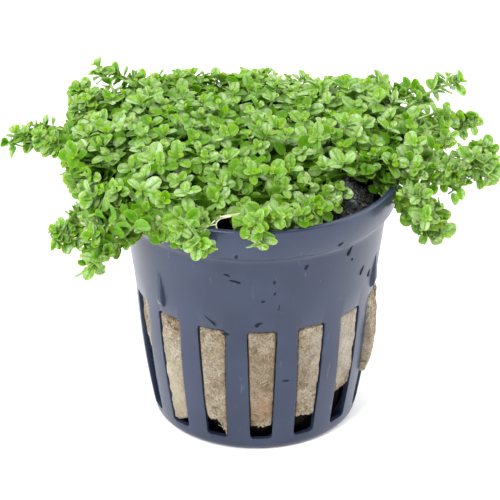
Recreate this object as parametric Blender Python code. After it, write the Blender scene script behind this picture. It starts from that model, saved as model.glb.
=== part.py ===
"""A nursery net pot of dwarf baby tears, modelled at its real size.

The origin is on the pot's axis at its underside, and +Z is up. Azimuth 0 is the front of the pot, at -Y,
and azimuths grow towards +X. Lengths are written in millimetres and scaled to metres when a mesh is made.
"""

import math
import random

import bmesh
import bpy
from mathutils import Matrix, Vector
from mathutils.bvhtree import BVHTree

MM = 0.001
GAP = 0.35

# The pot
RIM_RADIUS = 27.5
POT_HEIGHT = 50.3
COLLAR_FOOT = 43.0
WALL_TOP_RADIUS = 25.0
COLLAR_RADIUS = 26.5
COLLAR_FILLET_TOP = 44.7
COLLAR_BORE_RADIUS = 25.3
LIP_WIDTH = 1.15
LIP_EDGE = 0.3
SLOT_TOP = 27.6
SLOT_TOP_RADIUS = 23.0
SLOT_BOTTOM = 2.8
SLOT_BOTTOM_RADIUS = 20.0
WALL_BULGE = 0.45
WALL = 1.0
FLOOR = 1.2
BASE_CORNER = 1.6
FLOOR_FILLET = 0.6
POT_SIDES = 30

# Its slots, lugs and drain holes
SLOTS = 15
SLOT_PHASE = math.radians(3.15)
SLOT_HALF_TOP = 0.126
SLOT_HALF_BOTTOM = 0.104
SLOT_CORNER = 0.8
LUGS = 3
LUG_AZIMUTH = math.radians(-48.5)
LUG_WIDTH = 1.2
LUG_TOP = 36.5
LUG_BOTTOM = 28.6
LUG_DEPTH = 1.0
LUG_ROOT = 0.4
LUG_EDGE = 0.15
DRAINS = 5
DRAIN_INNER = 7.5
DRAIN_OUTER = 14.5
DRAIN_ANGLE = math.radians(38)

# The rock wool and the medium on it
WOOL_TOP = 38.6
WOOL_FOOT = 5.0
WOOL_TILT = 2.9
WOOL_TILT_AZIMUTH = math.radians(98)
WOOL_PRESS = 0.75
WOOL_UNDER_SLOT_TOP = 1.3
WOOL_ABOVE_PRESS = 0.3
WOOL_FOOT_INSET = 1.2
WOOL_EDGE_ANGLE = 0.104
WOOL_PRESS_ANGLE = 0.078
WOOL_BULGE = 2.1
BULGE_AZIMUTH = math.radians(90)
BULGE_SPREAD = 0.9
BULGE_FOOT = 10.0
WOOL_ROWS = 4
MEDIUM_TOP = 44.6
MEDIUM_EDGE_DROP = 0.6
MEDIUM_SWELL = 0.8
MEDIUM_ROUGH = 0.45
MEDIUM_SIDES = 20

# The leaf cushion: azimuth in degrees, its reach from the axis there, and the height of its lowest leaves
MAT_EDGE = (
    (-180, 32.5, 49.0), (-160, 33.5, 48.5), (-142, 38.2, 48.5), (-127, 40.6, 49.5), (-110, 37.2, 48.0),
    (-90, 33.8, 46.0), (-70, 33.2, 44.0), (-55, 31.6, 43.5), (-42, 30.0, 45.5), (-30, 28.9, 50.6),
    (-18, 26.2, 50.9), (-8, 23.6, 50.9), (0, 22.9, 50.9), (20, 22.8, 50.9), (36, 22.8, 50.9),
    (44, 21.6, 50.9), (51, 19.5, 50.9), (57, 20.5, 50.9), (63, 28.0, 50.9), (70, 30.5, 50.6),
    (92, 33.8, 48.0), (105, 35.4, 48.5), (122, 39.6, 49.5), (140, 38.0, 49.0), (160, 33.5, 49.0),
)
MAT_CROWN = 58.4
MAT_EDGE_RISE = 0.8
MAT_REAR_RISE = 2.6
MAT_FLATNESS = 2.6
MAT_REAR_FLATNESS = 2.8
MAT_LUMP = 0.7
MAT_FOOT = 46.6
MAT_FOOT_RADIUS = 24.0
MAT_SIDES = 36
HANG_START = 28.4
OVER_RIM = POT_HEIGHT + 0.5
OVER_RIM_SLOPE = 0.3

# The rosettes that the cushion's stems end in
ROSETTE_SPACING = 9.1
ROSETTE_RADIUS = 3.8
ROSETTE_LOOP = 33.0
ROSETTE_GAP = 0.58
ROSETTE_TIP_RISE = 0.8
ROSETTE_GAP_RISE = 0.3
ROSETTE_HEART = 0.35
ROSETTE_STALK = 1.3
ROSETTE_LEAN = 0.25
OUTER_RING = 0.9
OUTER_LIFT = 0.6

# Stems and leaves
STEM_RADIUS = 0.42
LEAF_LENGTH = 3.0
LEAF_WIDTH = 2.5
LEAF_THICK = 0.5
LEAF_FORWARD = 0.35
END_LEAF_SHARE = 0.8
PAIR_SPACING = 3.3
ROUTE_STEPS = 60

# Each sprig: the stem's root in the cushion, its bend and its tip
SPRIGS = {
    "sprig_back_left_tall": ((-26.0, 23.0, 55.0), (-28.0, 27.0, 56.8), (-29.6, 29.0, 58.8)),
    "sprig_left_back_upper": ((-28.0, 19.0, 55.0), (-32.0, 22.0, 55.4), (-34.8, 23.5, 56.0)),
    "sprig_left_back_lower": ((-29.0, 13.5, 54.5), (-32.5, 17.0, 55.8), (-35.0, 19.0, 56.4)),
    "sprig_far_left": ((-31.0, 3.5, 51.5), (-38.0, 5.5, 53.4), (-45.4, 9.0, 51.4)),
    "sprig_far_left_upper": ((-31.5, 10.5, 53.0), (-37.0, 12.0, 54.4), (-42.8, 13.5, 54.4)),
    "sprig_left_drooping": ((-31.0, -0.5, 51.0), (-34.5, 0.0, 52.2), (-35.8, 0.0, 50.6)),
    "sprig_left_small": ((-30.5, -4.5, 49.5), (-32.4, -4.5, 50.2), (-33.6, -5.0, 48.8)),
    "sprig_left_low": ((-29.5, -8.5, 46.5), (-33.6, -9.5, 45.0), (-36.6, -10.5, 41.2)),
    "sprig_left_front_hanging": ((-25.5, -14.5, 46.5), (-28.4, -16.0, 42.6), (-30.0, -16.0, 37.0)),
    "sprig_left_front_inner": ((-21.5, -18.5, 47.5), (-23.4, -21.0, 43.8), (-24.4, -20.6, 39.2)),
    "sprig_front_left": ((-11.5, -23.0, 51.6), (-10.0, -28.4, 52.0), (-8.6, -29.6, 47.2)),
    "sprig_front": ((2.6, -21.0, 51.8), (3.2, -27.8, 54.0), (3.4, -30.4, 50.4)),
    "sprig_back_right_tall": ((30.0, 18.0, 54.0), (37.0, 23.5, 55.8), (41.8, 26.0, 56.6)),
    "sprig_right_back": ((31.0, 9.0, 53.5), (38.5, 11.5, 55.4), (44.2, 13.0, 54.2)),
    "sprig_far_right_upper": ((32.0, 0.0, 51.5), (40.5, 0.5, 52.0), (44.6, 2.5, 54.4)),
    "sprig_far_right_lower": ((31.5, -4.0, 51.0), (40.0, -4.5, 52.0), (45.4, -5.0, 50.6)),
    "sprig_right_small": ((29.0, -7.0, 50.5), (34.6, -7.5, 51.2), (37.2, -8.0, 49.6)),
    "sprig_right_hanging": ((27.5, -10.5, 49.5), (32.4, -12.0, 48.2), (35.0, -13.0, 43.0)),
    "sprig_right_hanging_inner": ((26.0, -13.5, 50.0), (29.4, -15.0, 48.4), (30.8, -16.0, 44.6)),
    "sprig_back_centre": ((3.1, 26.5, 54.5), (3.2, 30.8, 55.6), (3.3, 33.6, 56.8)),
    "sprig_back_right": ((20.0, 24.0, 53.5), (24.0, 29.0, 53.8), (26.6, 32.0, 54.2)),
    "sprig_back_left": ((-12.5, 25.0, 54.0), (-13.0, 29.5, 54.8), (-13.4, 32.5, 55.4)),
    "sprig_behind_1": ((-22.0, 24.0, 50.0), (-25.0, 31.5, 50.0), (-26.5, 35.0, 45.5)),
    "sprig_behind_2": ((-8.0, 27.5, 50.0), (-8.5, 34.5, 50.0), (-9.0, 37.5, 46.0)),
    "sprig_behind_3": ((7.0, 27.5, 50.5), (7.8, 34.5, 50.0), (8.0, 37.0, 45.0)),
    "sprig_behind_4": ((19.0, 26.0, 50.0), (22.5, 32.5, 50.0), (25.0, 35.0, 46.0)),
    "sprig_behind_5": ((29.0, 16.0, 49.5), (35.0, 19.0, 50.0), (38.4, 20.5, 45.6)),
    "sprig_behind_6": ((-29.5, 15.0, 49.5), (-36.0, 17.0, 49.6), (-38.5, 18.5, 45.0)),
}


def clear_scene():
    for item in list(bpy.data.objects):
        bpy.data.objects.remove(item, do_unlink=True)


def material(name, color, roughness, metallic=0.0):
    finish = bpy.data.materials.new(name)
    finish.use_nodes = True
    shader = finish.node_tree.nodes["Principled BSDF"]
    shader.inputs["Base Color"].default_value = (*color, 1.0)
    shader.inputs["Roughness"].default_value = roughness
    shader.inputs["Metallic"].default_value = metallic
    finish.diffuse_color = (*color, 1.0)
    return finish


def add_object(name, bm, finish, smooth_degrees=35):
    """Scales a millimetre mesh to metres and puts it in the scene."""
    bmesh.ops.scale(bm, vec=(MM, MM, MM), verts=bm.verts)
    bmesh.ops.recalc_face_normals(bm, faces=bm.faces)
    mesh = bpy.data.meshes.new(name)
    bm.to_mesh(mesh)
    bm.free()
    mesh.shade_smooth()
    mesh.set_sharp_from_angle(angle=math.radians(smooth_degrees))
    thing = bpy.data.objects.new(name, mesh)
    thing.data.materials.append(finish)
    bpy.context.scene.collection.objects.link(thing)
    return thing


def hide_tool(tool):
    tool.hide_render = True
    tool.display_type = "WIRE"


def boolean(target, tool, operation):
    """Leaves a live Boolean on the target; the tool itself is only a guide."""
    hide_tool(tool)
    step = target.modifiers.new(operation.title(), "BOOLEAN")
    step.operation = operation
    step.object = tool
    step.solver = "EXACT"
    step.use_self = operation == "UNION"
    return step


def settle(thing):
    """Makes an object's modified mesh its own, as one body with the pockets sealed inside it filled."""
    bpy.context.view_layer.update()
    graph = bpy.context.evaluated_depsgraph_get()
    bm = bmesh.new()
    bm.from_mesh(thing.evaluated_get(graph).data)
    waiting = set(bm.faces)
    bodies = []
    while waiting:
        body = set()
        front = {next(iter(waiting))}
        while front:
            body |= front
            front = {near for face in front for edge in face.edges for near in edge.link_faces} - body
        bodies.append(body)
        waiting -= body
    largest = max(bodies, key=len)
    inner = [face for face in bm.faces if face not in largest]
    bmesh.ops.delete(bm, geom=inner, context="FACES")
    thing.modifiers.clear()
    bm.to_mesh(thing.data)
    bm.free()


def polar(radius, azimuth, height):
    return Vector((radius * math.sin(azimuth), -radius * math.cos(azimuth), height))


def turned(profile, sides):
    """Spins an outline of (radius, height) points, both ends on the axis, into a closed solid."""
    bm = bmesh.new()
    points = [bm.verts.new((radius, 0.0, height)) for radius, height in profile]
    edges = [bm.edges.new(pair) for pair in zip(points, points[1:])]
    bmesh.ops.spin(
        bm,
        geom=points + edges,
        cent=(0, 0, 0),
        axis=(0, 0, 1),
        angle=math.tau,
        steps=sides,
        use_merge=True,
    )
    bmesh.ops.remove_doubles(bm, verts=bm.verts, dist=0.001)
    return bm


def wall_radius(height):
    """The outer radius of the pot's wall below the collar: straight, then bulged where the slots are."""
    if height > SLOT_TOP:
        share = (height - SLOT_TOP) / (COLLAR_FOOT - SLOT_TOP)
        return SLOT_TOP_RADIUS + share * (WALL_TOP_RADIUS - SLOT_TOP_RADIUS)
    share = (height - SLOT_BOTTOM) / (SLOT_TOP - SLOT_BOTTOM)
    bulge = WALL_BULGE * math.sin(math.pi * min(max(share, 0.0), 1.0))
    return SLOT_BOTTOM_RADIUS + share * (SLOT_TOP_RADIUS - SLOT_BOTTOM_RADIUS) + bulge


def bore_radius(height):
    return wall_radius(height) - WALL


def pot_profile():
    """The cup's outline: the floor, the tapering wall, the collar and its flat lip, then the inside."""
    outside = [(0.0, 0.0), (wall_radius(0.0) - BASE_CORNER, 0.0)]
    swing = math.radians(45)
    height = BASE_CORNER * (1 - math.cos(swing))
    outside.append((wall_radius(height) - BASE_CORNER * (1 - math.sin(swing)), height))
    outside += [(wall_radius(height), height) for height in (SLOT_BOTTOM, 11.0, 19.5, SLOT_TOP, 41.5)]
    outside += [(WALL_TOP_RADIUS + 0.4, COLLAR_FOOT), (COLLAR_RADIUS, COLLAR_FILLET_TOP)]
    lip = [
        (RIM_RADIUS, POT_HEIGHT - LIP_EDGE),
        (RIM_RADIUS - LIP_EDGE, POT_HEIGHT),
        (RIM_RADIUS - LIP_WIDTH, POT_HEIGHT),
    ]
    inside = [(COLLAR_BORE_RADIUS, COLLAR_FILLET_TOP + LIP_EDGE)]
    inside += [(bore_radius(height), height) for height in (41.0, SLOT_TOP, 15.0, SLOT_BOTTOM)]
    inside += [(bore_radius(FLOOR) - FLOOR_FILLET, FLOOR), (0.0, FLOOR)]
    return outside + lip + inside


def slot_cutter(index):
    """One tapered slot as a radial block with rounded upright corners."""
    bm = bmesh.new()
    bmesh.ops.create_cube(bm, size=1.0)
    inner, outer = DRAIN_OUTER, RIM_RADIUS + 2.5
    for vert in bm.verts:
        top = vert.co.z > 0
        half = SLOT_HALF_TOP * SLOT_TOP_RADIUS if top else SLOT_HALF_BOTTOM * SLOT_BOTTOM_RADIUS
        side = half * (1 if vert.co.x > 0 else -1)
        vert.co = Vector((side, -outer if vert.co.y < 0 else -inner, SLOT_TOP if top else SLOT_BOTTOM))
    lengthwise = [edge for edge in bm.edges if abs(edge.verts[0].co.y - edge.verts[1].co.y) > 1.0]
    bmesh.ops.bevel(
        bm,
        geom=lengthwise,
        offset=SLOT_CORNER,
        segments=1,
        profile=0.5,
        affect="EDGES",
        material=-1,
    )
    azimuth = SLOT_PHASE + index * math.tau / SLOTS
    bmesh.ops.rotate(bm, verts=bm.verts, matrix=Matrix.Rotation(azimuth, 3, "Z"))
    return bm


def drain_cutter(index):
    """A curved slot through the floor between two radii."""
    bm = bmesh.new()
    steps = 2
    start = (index + 0.5) * math.tau / DRAINS - DRAIN_ANGLE / 2
    angles = [start + DRAIN_ANGLE * step / steps for step in range(steps + 1)]
    rim = [polar(DRAIN_INNER, angle, -1.0) for angle in angles]
    rim += [polar(DRAIN_OUTER, angle, -1.0) for angle in reversed(angles)]
    face = bm.faces.new([bm.verts.new(point) for point in rim])
    grown = bmesh.ops.extrude_face_region(bm, geom=[face])
    lifted = [item for item in grown["geom"] if isinstance(item, bmesh.types.BMVert)]
    bmesh.ops.translate(bm, verts=lifted, vec=(0, 0, FLOOR + 2.0))
    return bm


def lug(index):
    """A stacking lug: a thin upright fin whose outer edge hangs plumb while the wall tapers away."""
    bm = bmesh.new()
    middle = (LUG_TOP + LUG_BOTTOM) / 2
    edge = wall_radius(LUG_TOP) + LUG_EDGE
    belly = min(edge, wall_radius(LUG_BOTTOM) + LUG_DEPTH)
    outline = [
        (wall_radius(LUG_TOP) - LUG_ROOT, LUG_TOP),
        (edge, LUG_TOP - LUG_WIDTH / 2),
        (belly, middle - LUG_WIDTH / 2),
        (belly - LUG_ROOT, LUG_BOTTOM + LUG_WIDTH),
        (wall_radius(LUG_BOTTOM) - LUG_ROOT, LUG_BOTTOM),
    ]
    half = LUG_WIDTH / 2
    face = bm.faces.new([bm.verts.new((-half, -radius, height)) for radius, height in outline])
    grown = bmesh.ops.extrude_face_region(bm, geom=[face])
    moved = [item for item in grown["geom"] if isinstance(item, bmesh.types.BMVert)]
    bmesh.ops.translate(bm, verts=moved, vec=(LUG_WIDTH, 0, 0))
    azimuth = LUG_AZIMUTH + index * math.tau / LUGS
    bmesh.ops.rotate(bm, verts=bm.verts, matrix=Matrix.Rotation(azimuth, 3, "Z"))
    return bm


def joined(shapes):
    """Joins several bmeshes into one, leaving each a body of its own."""
    whole = bmesh.new()
    for shape in shapes:
        bmesh.ops.recalc_face_normals(shape, faces=shape.faces)
        piece = bpy.data.meshes.new("piece")
        shape.to_mesh(piece)
        shape.free()
        whole.from_mesh(piece)
        bpy.data.meshes.remove(piece)
    return whole


def make_pot(finish):
    cup = turned(pot_profile(), POT_SIDES)
    bmesh.ops.rotate(cup, verts=cup.verts, matrix=Matrix.Rotation(SLOT_PHASE, 3, "Z"))
    pot = add_object("pot", cup, finish)
    lugs = add_object("lug_guide", joined(lug(index) for index in range(LUGS)), finish)
    boolean(pot, lugs, "UNION")
    openings = [slot_cutter(index) for index in range(SLOTS)]
    openings += [drain_cutter(index) for index in range(DRAINS)]
    cutter = add_object("slot_guide", joined(openings), finish)
    boolean(pot, cutter, "DIFFERENCE")
    return pot


def wool_radius(azimuth, height, pressed):
    """Against the bore behind the ribs, and part way out through each slot; furthest at the right."""
    snug = bore_radius(height) - GAP
    if not pressed:
        return snug
    bulging = math.cos(azimuth - BULGE_AZIMUTH) > BULGE_SPREAD and height > BULGE_FOOT
    return snug + (WOOL_BULGE if bulging else WOOL_PRESS)


def wool_foot(azimuth):
    return WOOL_FOOT + WOOL_TILT * math.cos(azimuth - WOOL_TILT_AZIMUTH)


def wool_columns():
    """The upright lines of the plug: two by each slot's edges and two between them, pressed outwards."""
    columns = []
    for index in range(SLOTS):
        centre = SLOT_PHASE + index * math.tau / SLOTS
        columns.append((centre - WOOL_EDGE_ANGLE, False))
        columns.append((centre - WOOL_PRESS_ANGLE, True))
        columns.append((centre + WOOL_PRESS_ANGLE, True))
        columns.append((centre + WOOL_EDGE_ANGLE, False))
    return columns


def wool_height(row, foot):
    """Even rows behind the slots, then one above them and one at the plug's top."""
    if row > WOOL_ROWS:
        return (SLOT_TOP - WOOL_ABOVE_PRESS, WOOL_TOP)[row - WOOL_ROWS - 1]
    return foot + row / WOOL_ROWS * (SLOT_TOP - WOOL_UNDER_SLOT_TOP - foot)


def make_wool(finish):
    columns = wool_columns()
    bm = bmesh.new()
    rings = []
    for row in range(WOOL_ROWS + 3):
        ring = []
        for azimuth, pressed in columns:
            height = wool_height(row, wool_foot(azimuth))
            inset = WOOL_FOOT_INSET if row == 0 else 0.0
            radius = wool_radius(azimuth, height, pressed and 0 < row <= WOOL_ROWS) - inset
            ring.append(bm.verts.new(polar(radius, azimuth, height)))
        rings.append(ring)
    count = len(columns)
    for lower, upper in zip(rings, rings[1:]):
        for index in range(count):
            after = (index + 1) % count
            bm.faces.new((lower[index], lower[after], upper[after], upper[index]))
    for ring, height in ((rings[0], WOOL_FOOT - 0.5), (rings[-1], WOOL_TOP)):
        hub = bm.verts.new((0.0, 0.0, height))
        for index in range(count):
            bm.faces.new((ring[index], ring[(index + 1) % count], hub))
    return add_object("rock_wool_plug", bm, finish)


def make_medium(finish):
    """A low rough layer on top of the wool, swelling a little towards the middle."""
    rng = random.Random(11)
    foot = WOOL_TOP + GAP
    profile = [
        (0.0, foot),
        (bore_radius(foot) - GAP - 0.2, foot),
        (bore_radius(41.0) - GAP - 0.2, 41.0),
        (bore_radius(41.0) - GAP, MEDIUM_TOP - MEDIUM_EDGE_DROP),
        (21.0, MEDIUM_TOP),
        (14.0, MEDIUM_TOP + MEDIUM_SWELL / 2),
        (7.0, MEDIUM_TOP + MEDIUM_SWELL),
        (0.0, MEDIUM_TOP + MEDIUM_SWELL),
    ]
    bm = turned(profile, MEDIUM_SIDES)
    for vert in bm.verts:
        if vert.co.z > MEDIUM_TOP - MEDIUM_EDGE_DROP / 2:
            vert.co.z += rng.uniform(-MEDIUM_ROUGH, MEDIUM_ROUGH)
    return add_object("growing_medium", bm, finish)


def mat_edge(azimuth):
    """The cushion's reach and lowest height at an azimuth, on smooth closed curves through MAT_EDGE."""
    degrees = (math.degrees(azimuth) + 180.0) % 360.0 - 180.0
    count = len(MAT_EDGE)
    index = max(place for place in range(count) if MAT_EDGE[place][0] <= degrees)
    start = MAT_EDGE[index][0]
    end = MAT_EDGE[index + 1][0] if index + 1 < count else 180
    share = (degrees - start) / (end - start)
    square, cube = share ** 2, share ** 3
    values = []
    for item in (1, 2):
        before, low, high, after = (MAT_EDGE[(index + step) % count][item] for step in (-1, 0, 1, 2))
        values.append(
            (2 * cube - 3 * square + 1) * low
            + (cube - 2 * square + share) * (high - before) / 2
            + (3 * square - 2 * cube) * high
            + (cube - square) * (after - low) / 2
        )
    return values[0], min(values[1], OVER_RIM + 0.1)


def mat_reach(azimuth):
    return mat_edge(azimuth)[0]


def rearness(azimuth):
    """How far round towards the back an azimuth is: 0 at the front, 1 behind."""
    return (1.0 - math.cos(azimuth)) / 2


def mat_edge_height(azimuth):
    """The height of the cushion's outermost line: low in front, where it slopes, and high behind."""
    return OVER_RIM + MAT_EDGE_RISE + MAT_REAR_RISE * rearness(azimuth)


def mat_lump(x, y):
    """Low swells, about 15 mm apart, that keep the cushion from looking turned."""
    across = math.sin(x * 0.42 + 1.3) * math.sin(y * 0.37 + 0.4)
    slanting = math.sin(x * 0.21 - y * 0.3) / 2
    return MAT_LUMP * (across + slanting)


def mat_top(share, azimuth):
    """A point on the cushion's upper surface; share is 0 on the axis and 1 at its reach."""
    reach = mat_reach(azimuth)
    edge = mat_edge_height(azimuth)
    flatness = MAT_FLATNESS + MAT_REAR_FLATNESS * rearness(azimuth)
    height = edge + (MAT_CROWN - edge) * (1.0 - share ** flatness) ** 0.75
    spot = polar(share * reach, azimuth, 0.0)
    height += mat_lump(spot.x, spot.y) * (1.0 - share ** 6)
    return Vector((spot.x, spot.y, height))


def mat_under(azimuth):
    """The points below the reach: down to the lowest leaves, back over the rim and into the pot."""
    reach, hem = mat_edge(azimuth)
    edge = mat_edge_height(azimuth)
    if reach < HANG_START:
        drop = (edge - OVER_RIM - 0.1) / 4
        steps = [(reach - 0.1 * step, edge - drop * (step + 1)) for step in range(4)]
    else:
        steps = [
            (reach - 0.6, (edge + hem) / 2),
            (max(HANG_START, reach - 2.5), hem),
            (RIM_RADIUS + 0.55, OVER_RIM),
            (RIM_RADIUS - 2.1, OVER_RIM),
        ]
    steps.append((min(reach - 1.6, MAT_FOOT_RADIUS), MAT_FOOT))
    return [polar(radius, azimuth, height) for radius, height in steps]


def cushion():
    """The cushion's smooth body as rings of points round the axis."""
    bm = bmesh.new()
    azimuths = [math.tau * index / MAT_SIDES for index in range(MAT_SIDES)]
    shares = (0.3, 0.6, 0.82, 0.95, 1.0)
    columns = []
    for azimuth in azimuths:
        column = [mat_top(share, azimuth) for share in shares] + mat_under(azimuth)
        columns.append([bm.verts.new(point) for point in column])
    crown = bm.verts.new(mat_top(0.0, 0.0))
    foot = bm.verts.new((0.0, 0.0, MAT_FOOT))
    for index in range(MAT_SIDES):
        here = columns[index]
        after = columns[(index + 1) % MAT_SIDES]
        bm.faces.new((crown, here[0], after[0]))
        bm.faces.new((foot, after[-1], here[-1]))
        for lower in range(len(here) - 1):
            bm.faces.new((here[lower], here[lower + 1], after[lower + 1], after[lower]))
    return bm


def rosette(radius, rng):
    """Four blunt leaves in a cross, seen from above, over a stalk that tapers into the cushion."""
    bm = bmesh.new()
    bmesh.ops.create_uvsphere(bm, u_segments=8, v_segments=2, radius=1.0)
    rim = [vert for vert in bm.verts if abs(vert.co.z) < 0.1]
    rim.sort(key=lambda vert: math.atan2(vert.co.y, vert.co.x))
    for index, vert in enumerate(rim):
        swing = index * math.tau / len(rim)
        length = radius * rng.uniform(0.93, 1.05)
        if index % 2:
            length *= ROSETTE_GAP
        rise = ROSETTE_GAP_RISE if index % 2 else ROSETTE_TIP_RISE
        vert.co = Vector((length * math.cos(swing), length * math.sin(swing), rise))
    for vert in bm.verts:
        if vert not in rim:
            vert.co.z = ROSETTE_HEART if vert.co.z > 0 else -ROSETTE_STALK
    return bm


def rosette_places():
    """Even places over the cushion's top and sides, as (share, azimuth) pairs on rings."""
    places = []
    for ring, share in enumerate((0.0, 0.26, 0.51, 0.74, 0.94)):
        count = max(1, round(math.tau * share * ROSETTE_LOOP / ROSETTE_SPACING))
        places += [(share, math.tau * (index + 0.5 * (ring % 2)) / count) for index in range(count)]
    return places


def surface_normal(share, azimuth):
    step = 0.02
    low = max(share - step, 0.001)
    along = mat_top(min(share + step, 1.0), azimuth) - mat_top(low, azimuth)
    round_it = mat_top(max(share, 0.02), azimuth + step) - mat_top(max(share, 0.02), azimuth - step)
    normal = round_it.cross(along)
    normal.normalize()
    return normal if normal.z > 0 or share > OUTER_RING else -normal


def keep_over_rim(point):
    """Lifts a point that would touch the pot's lip, and lets it sink slowly outside the lip."""
    radius = point.xy.length
    lowest = OVER_RIM - OVER_RIM_SLOPE * max(0.0, radius - HANG_START)
    if radius > MAT_FOOT_RADIUS - ROSETTE_RADIUS and point.z < lowest:
        point.z = lowest


def make_mat(finish):
    body = add_object("leaf_mat", cushion(), finish, smooth_degrees=50)
    rng = random.Random(5)
    flowers = []
    for share, azimuth in rosette_places():
        bm = rosette(ROSETTE_RADIUS, rng)
        normal = surface_normal(share, azimuth)
        lean = Vector([rng.uniform(-ROSETTE_LEAN, ROSETTE_LEAN) for axis in "xy"] + [ROSETTE_LEAN / 2])
        facing = (normal + lean).normalized().to_track_quat("Z", "Y").to_matrix().to_4x4()
        spin = Matrix.Rotation(rng.uniform(0, math.tau), 4, "Z")
        lift = Vector((0.0, 0.0, OUTER_LIFT if share > OUTER_RING else 0.0))
        place = Matrix.Translation(mat_top(share, azimuth) + lift) @ facing @ spin
        bmesh.ops.transform(bm, matrix=place, verts=bm.verts)
        for vert in bm.verts:
            keep_over_rim(vert.co)
        flowers.append(bm)
    guide = add_object("rosette_guide", joined(flowers), finish)
    boolean(body, guide, "UNION")
    settle(body)
    return body


def solid_tree(thing):
    """A search tree of an object's final mesh, in millimetres."""
    bpy.context.view_layer.update()
    graph = bpy.context.evaluated_depsgraph_get()
    shape = thing.evaluated_get(graph).to_mesh()
    points = [vert.co / MM for vert in shape.vertices]
    faces = [tuple(face.vertices) for face in shape.polygons]
    tree = BVHTree.FromPolygons(points, faces)
    thing.evaluated_get(graph).to_mesh_clear()
    return tree


def is_clear(tree, point, room):
    """True where a point is outside the searched solid by at least the room asked."""
    crossings = 0
    start = point.copy()
    heading = Vector((0.013, 0.021, 1.0)).normalized()
    while crossings < 50:
        hit = tree.ray_cast(start, heading)[0]
        if hit is None:
            break
        crossings += 1
        start = hit + heading * 0.001
    return crossings % 2 == 0 and tree.find_nearest(point)[3] > room


def bend(root, middle, tip, share):
    """A point on the smooth curve that leaves the root, passes the middle and ends at the tip."""
    root, middle, tip = Vector(root), Vector(middle), Vector(tip)
    handle = 2 * middle - (root + tip) / 2
    return (1 - share) ** 2 * root + 2 * share * (1 - share) * handle + share ** 2 * tip


def ring_axes(heading, roll):
    """The sideways and upward directions of a stem's section, turned by roll about its heading."""
    level = Vector((0.0, 0.0, 1.0)) if abs(heading.z) < 0.9 else Vector((0.0, -1.0, 0.0))
    side = heading.cross(level).normalized()
    rise = side.cross(heading).normalized()
    turn = Matrix.Rotation(roll, 3, heading)
    return turn @ side, turn @ rise


def grow_leaf(bm, face, heading, length):
    """Pushes one side face of a stem out into a leaf blade: wide at its middle, blunt at its tip."""
    outward = face.normal.copy()
    root = face.calc_center_median()
    across = outward.cross(heading).normalized()
    broad, thin = (across, heading) if abs(heading.z) > 0.6 else (heading, across)
    aim = (outward + heading * LEAF_FORWARD).normalized()
    for reach, width, thick in ((0.5, LEAF_WIDTH, LEAF_THICK), (1.0, LEAF_WIDTH * 0.4, 0.0)):
        face = bmesh.ops.extrude_discrete_faces(bm, faces=[face])["faces"][0]
        middle = face.calc_center_median()
        goal = root + aim * length * reach
        for vert in face.verts:
            arm = vert.co - middle
            wide = math.copysign(width / 2 * length / LEAF_LENGTH, arm.dot(broad))
            high = math.copysign(thick / 2, arm.dot(thin))
            vert.co = goal + broad * wide + thin * high
    bmesh.ops.remove_doubles(bm, verts=list(face.verts), dist=0.001)


def free_stretch(route, tree):
    """The points of a sprig's route from the last one that is clear of the cushion out to its tip."""
    points = [bend(*route, step / ROUTE_STEPS) for step in range(ROUTE_STEPS + 1)]
    start = ROUTE_STEPS
    while start > 0 and is_clear(tree, points[start - 1], STEM_RADIUS + GAP):
        start -= 1
    return points[start:]


def stem_rings(bm, free, pairs, roll):
    """Square rings along the stem: one at its root, then two close together at each leaf pair."""
    half = STEM_RADIUS * 0.8
    corners = ((1, 1), (-1, 1), (-1, -1), (1, -1))
    rings = []
    for node in range(pairs + 1):
        place = round((len(free) - 1) * node / pairs)
        heading = (free[min(place + 2, len(free) - 1)] - free[max(place - 2, 0)]).normalized()
        side, rise = ring_axes(heading, roll)
        for end in ((-1, 1) if node else (0,)):
            middle = free[place] + heading * half * end
            rings.append([bm.verts.new(middle + (side * x + rise * y) * half) for x, y in corners])
    return rings


def ring_centre(ring):
    return sum((vert.co for vert in ring), Vector()) / len(ring)


def make_sprig(name, route, tree, finish, rng):
    """A square-section stem from the cushion's surface to its tip, with leaf pairs grown out of it."""
    free = free_stretch(route, tree)
    length = sum((after - here).length for here, after in zip(free, free[1:]))
    pairs = max(1, round(length / PAIR_SPACING))
    bm = bmesh.new()
    rings = stem_rings(bm, free, pairs, math.radians(45) + rng.uniform(-0.3, 0.3))
    bm.faces.new(reversed(rings[0]))
    bm.faces.new(rings[-1])
    collars = []
    for index, (here, after) in enumerate(zip(rings, rings[1:])):
        sides = [
            bm.faces.new((here[turn], here[(turn + 1) % 4], after[(turn + 1) % 4], after[turn]))
            for turn in range(4)
        ]
        if index % 2:
            collars.append((sides, (ring_centre(after) - ring_centre(here)).normalized()))
    bmesh.ops.recalc_face_normals(bm, faces=bm.faces)
    for node, (sides, heading) in enumerate(collars):
        last = node == len(collars) - 1
        for face in sides if last else sides[node % 2::2]:
            size = LEAF_LENGTH * (END_LEAF_SHARE if last else 1.0) * rng.uniform(0.92, 1.08)
            face.normal_update()
            tip = face.calc_center_median() + face.normal * size
            if is_clear(tree, tip, LEAF_WIDTH / 2 + GAP):
                grow_leaf(bm, face, heading, size)
    return add_object(name, bm, finish)


def build():
    clear_scene()
    plastic = material("pot_plastic", (0.135, 0.15, 0.22), 0.42)
    wool = material("rock_wool", (0.46, 0.38, 0.24), 0.95)
    soil = material("wet_medium", (0.02, 0.018, 0.02), 0.35)
    leafy = material("leaf_green", (0.2, 0.48, 0.05), 0.45)
    sprig_green = material("sprig_green", (0.26, 0.55, 0.08), 0.45)
    make_pot(plastic)
    make_wool(wool)
    make_medium(soil)
    mat = make_mat(leafy)
    tree = solid_tree(mat)
    rng = random.Random(3)
    for name, route in SPRIGS.items():
        make_sprig(name, route, tree, sprig_green, rng)


build()
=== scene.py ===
import math
import random

import bmesh
import bpy
import numpy as np
from mathutils import Matrix, Vector, noise


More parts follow.
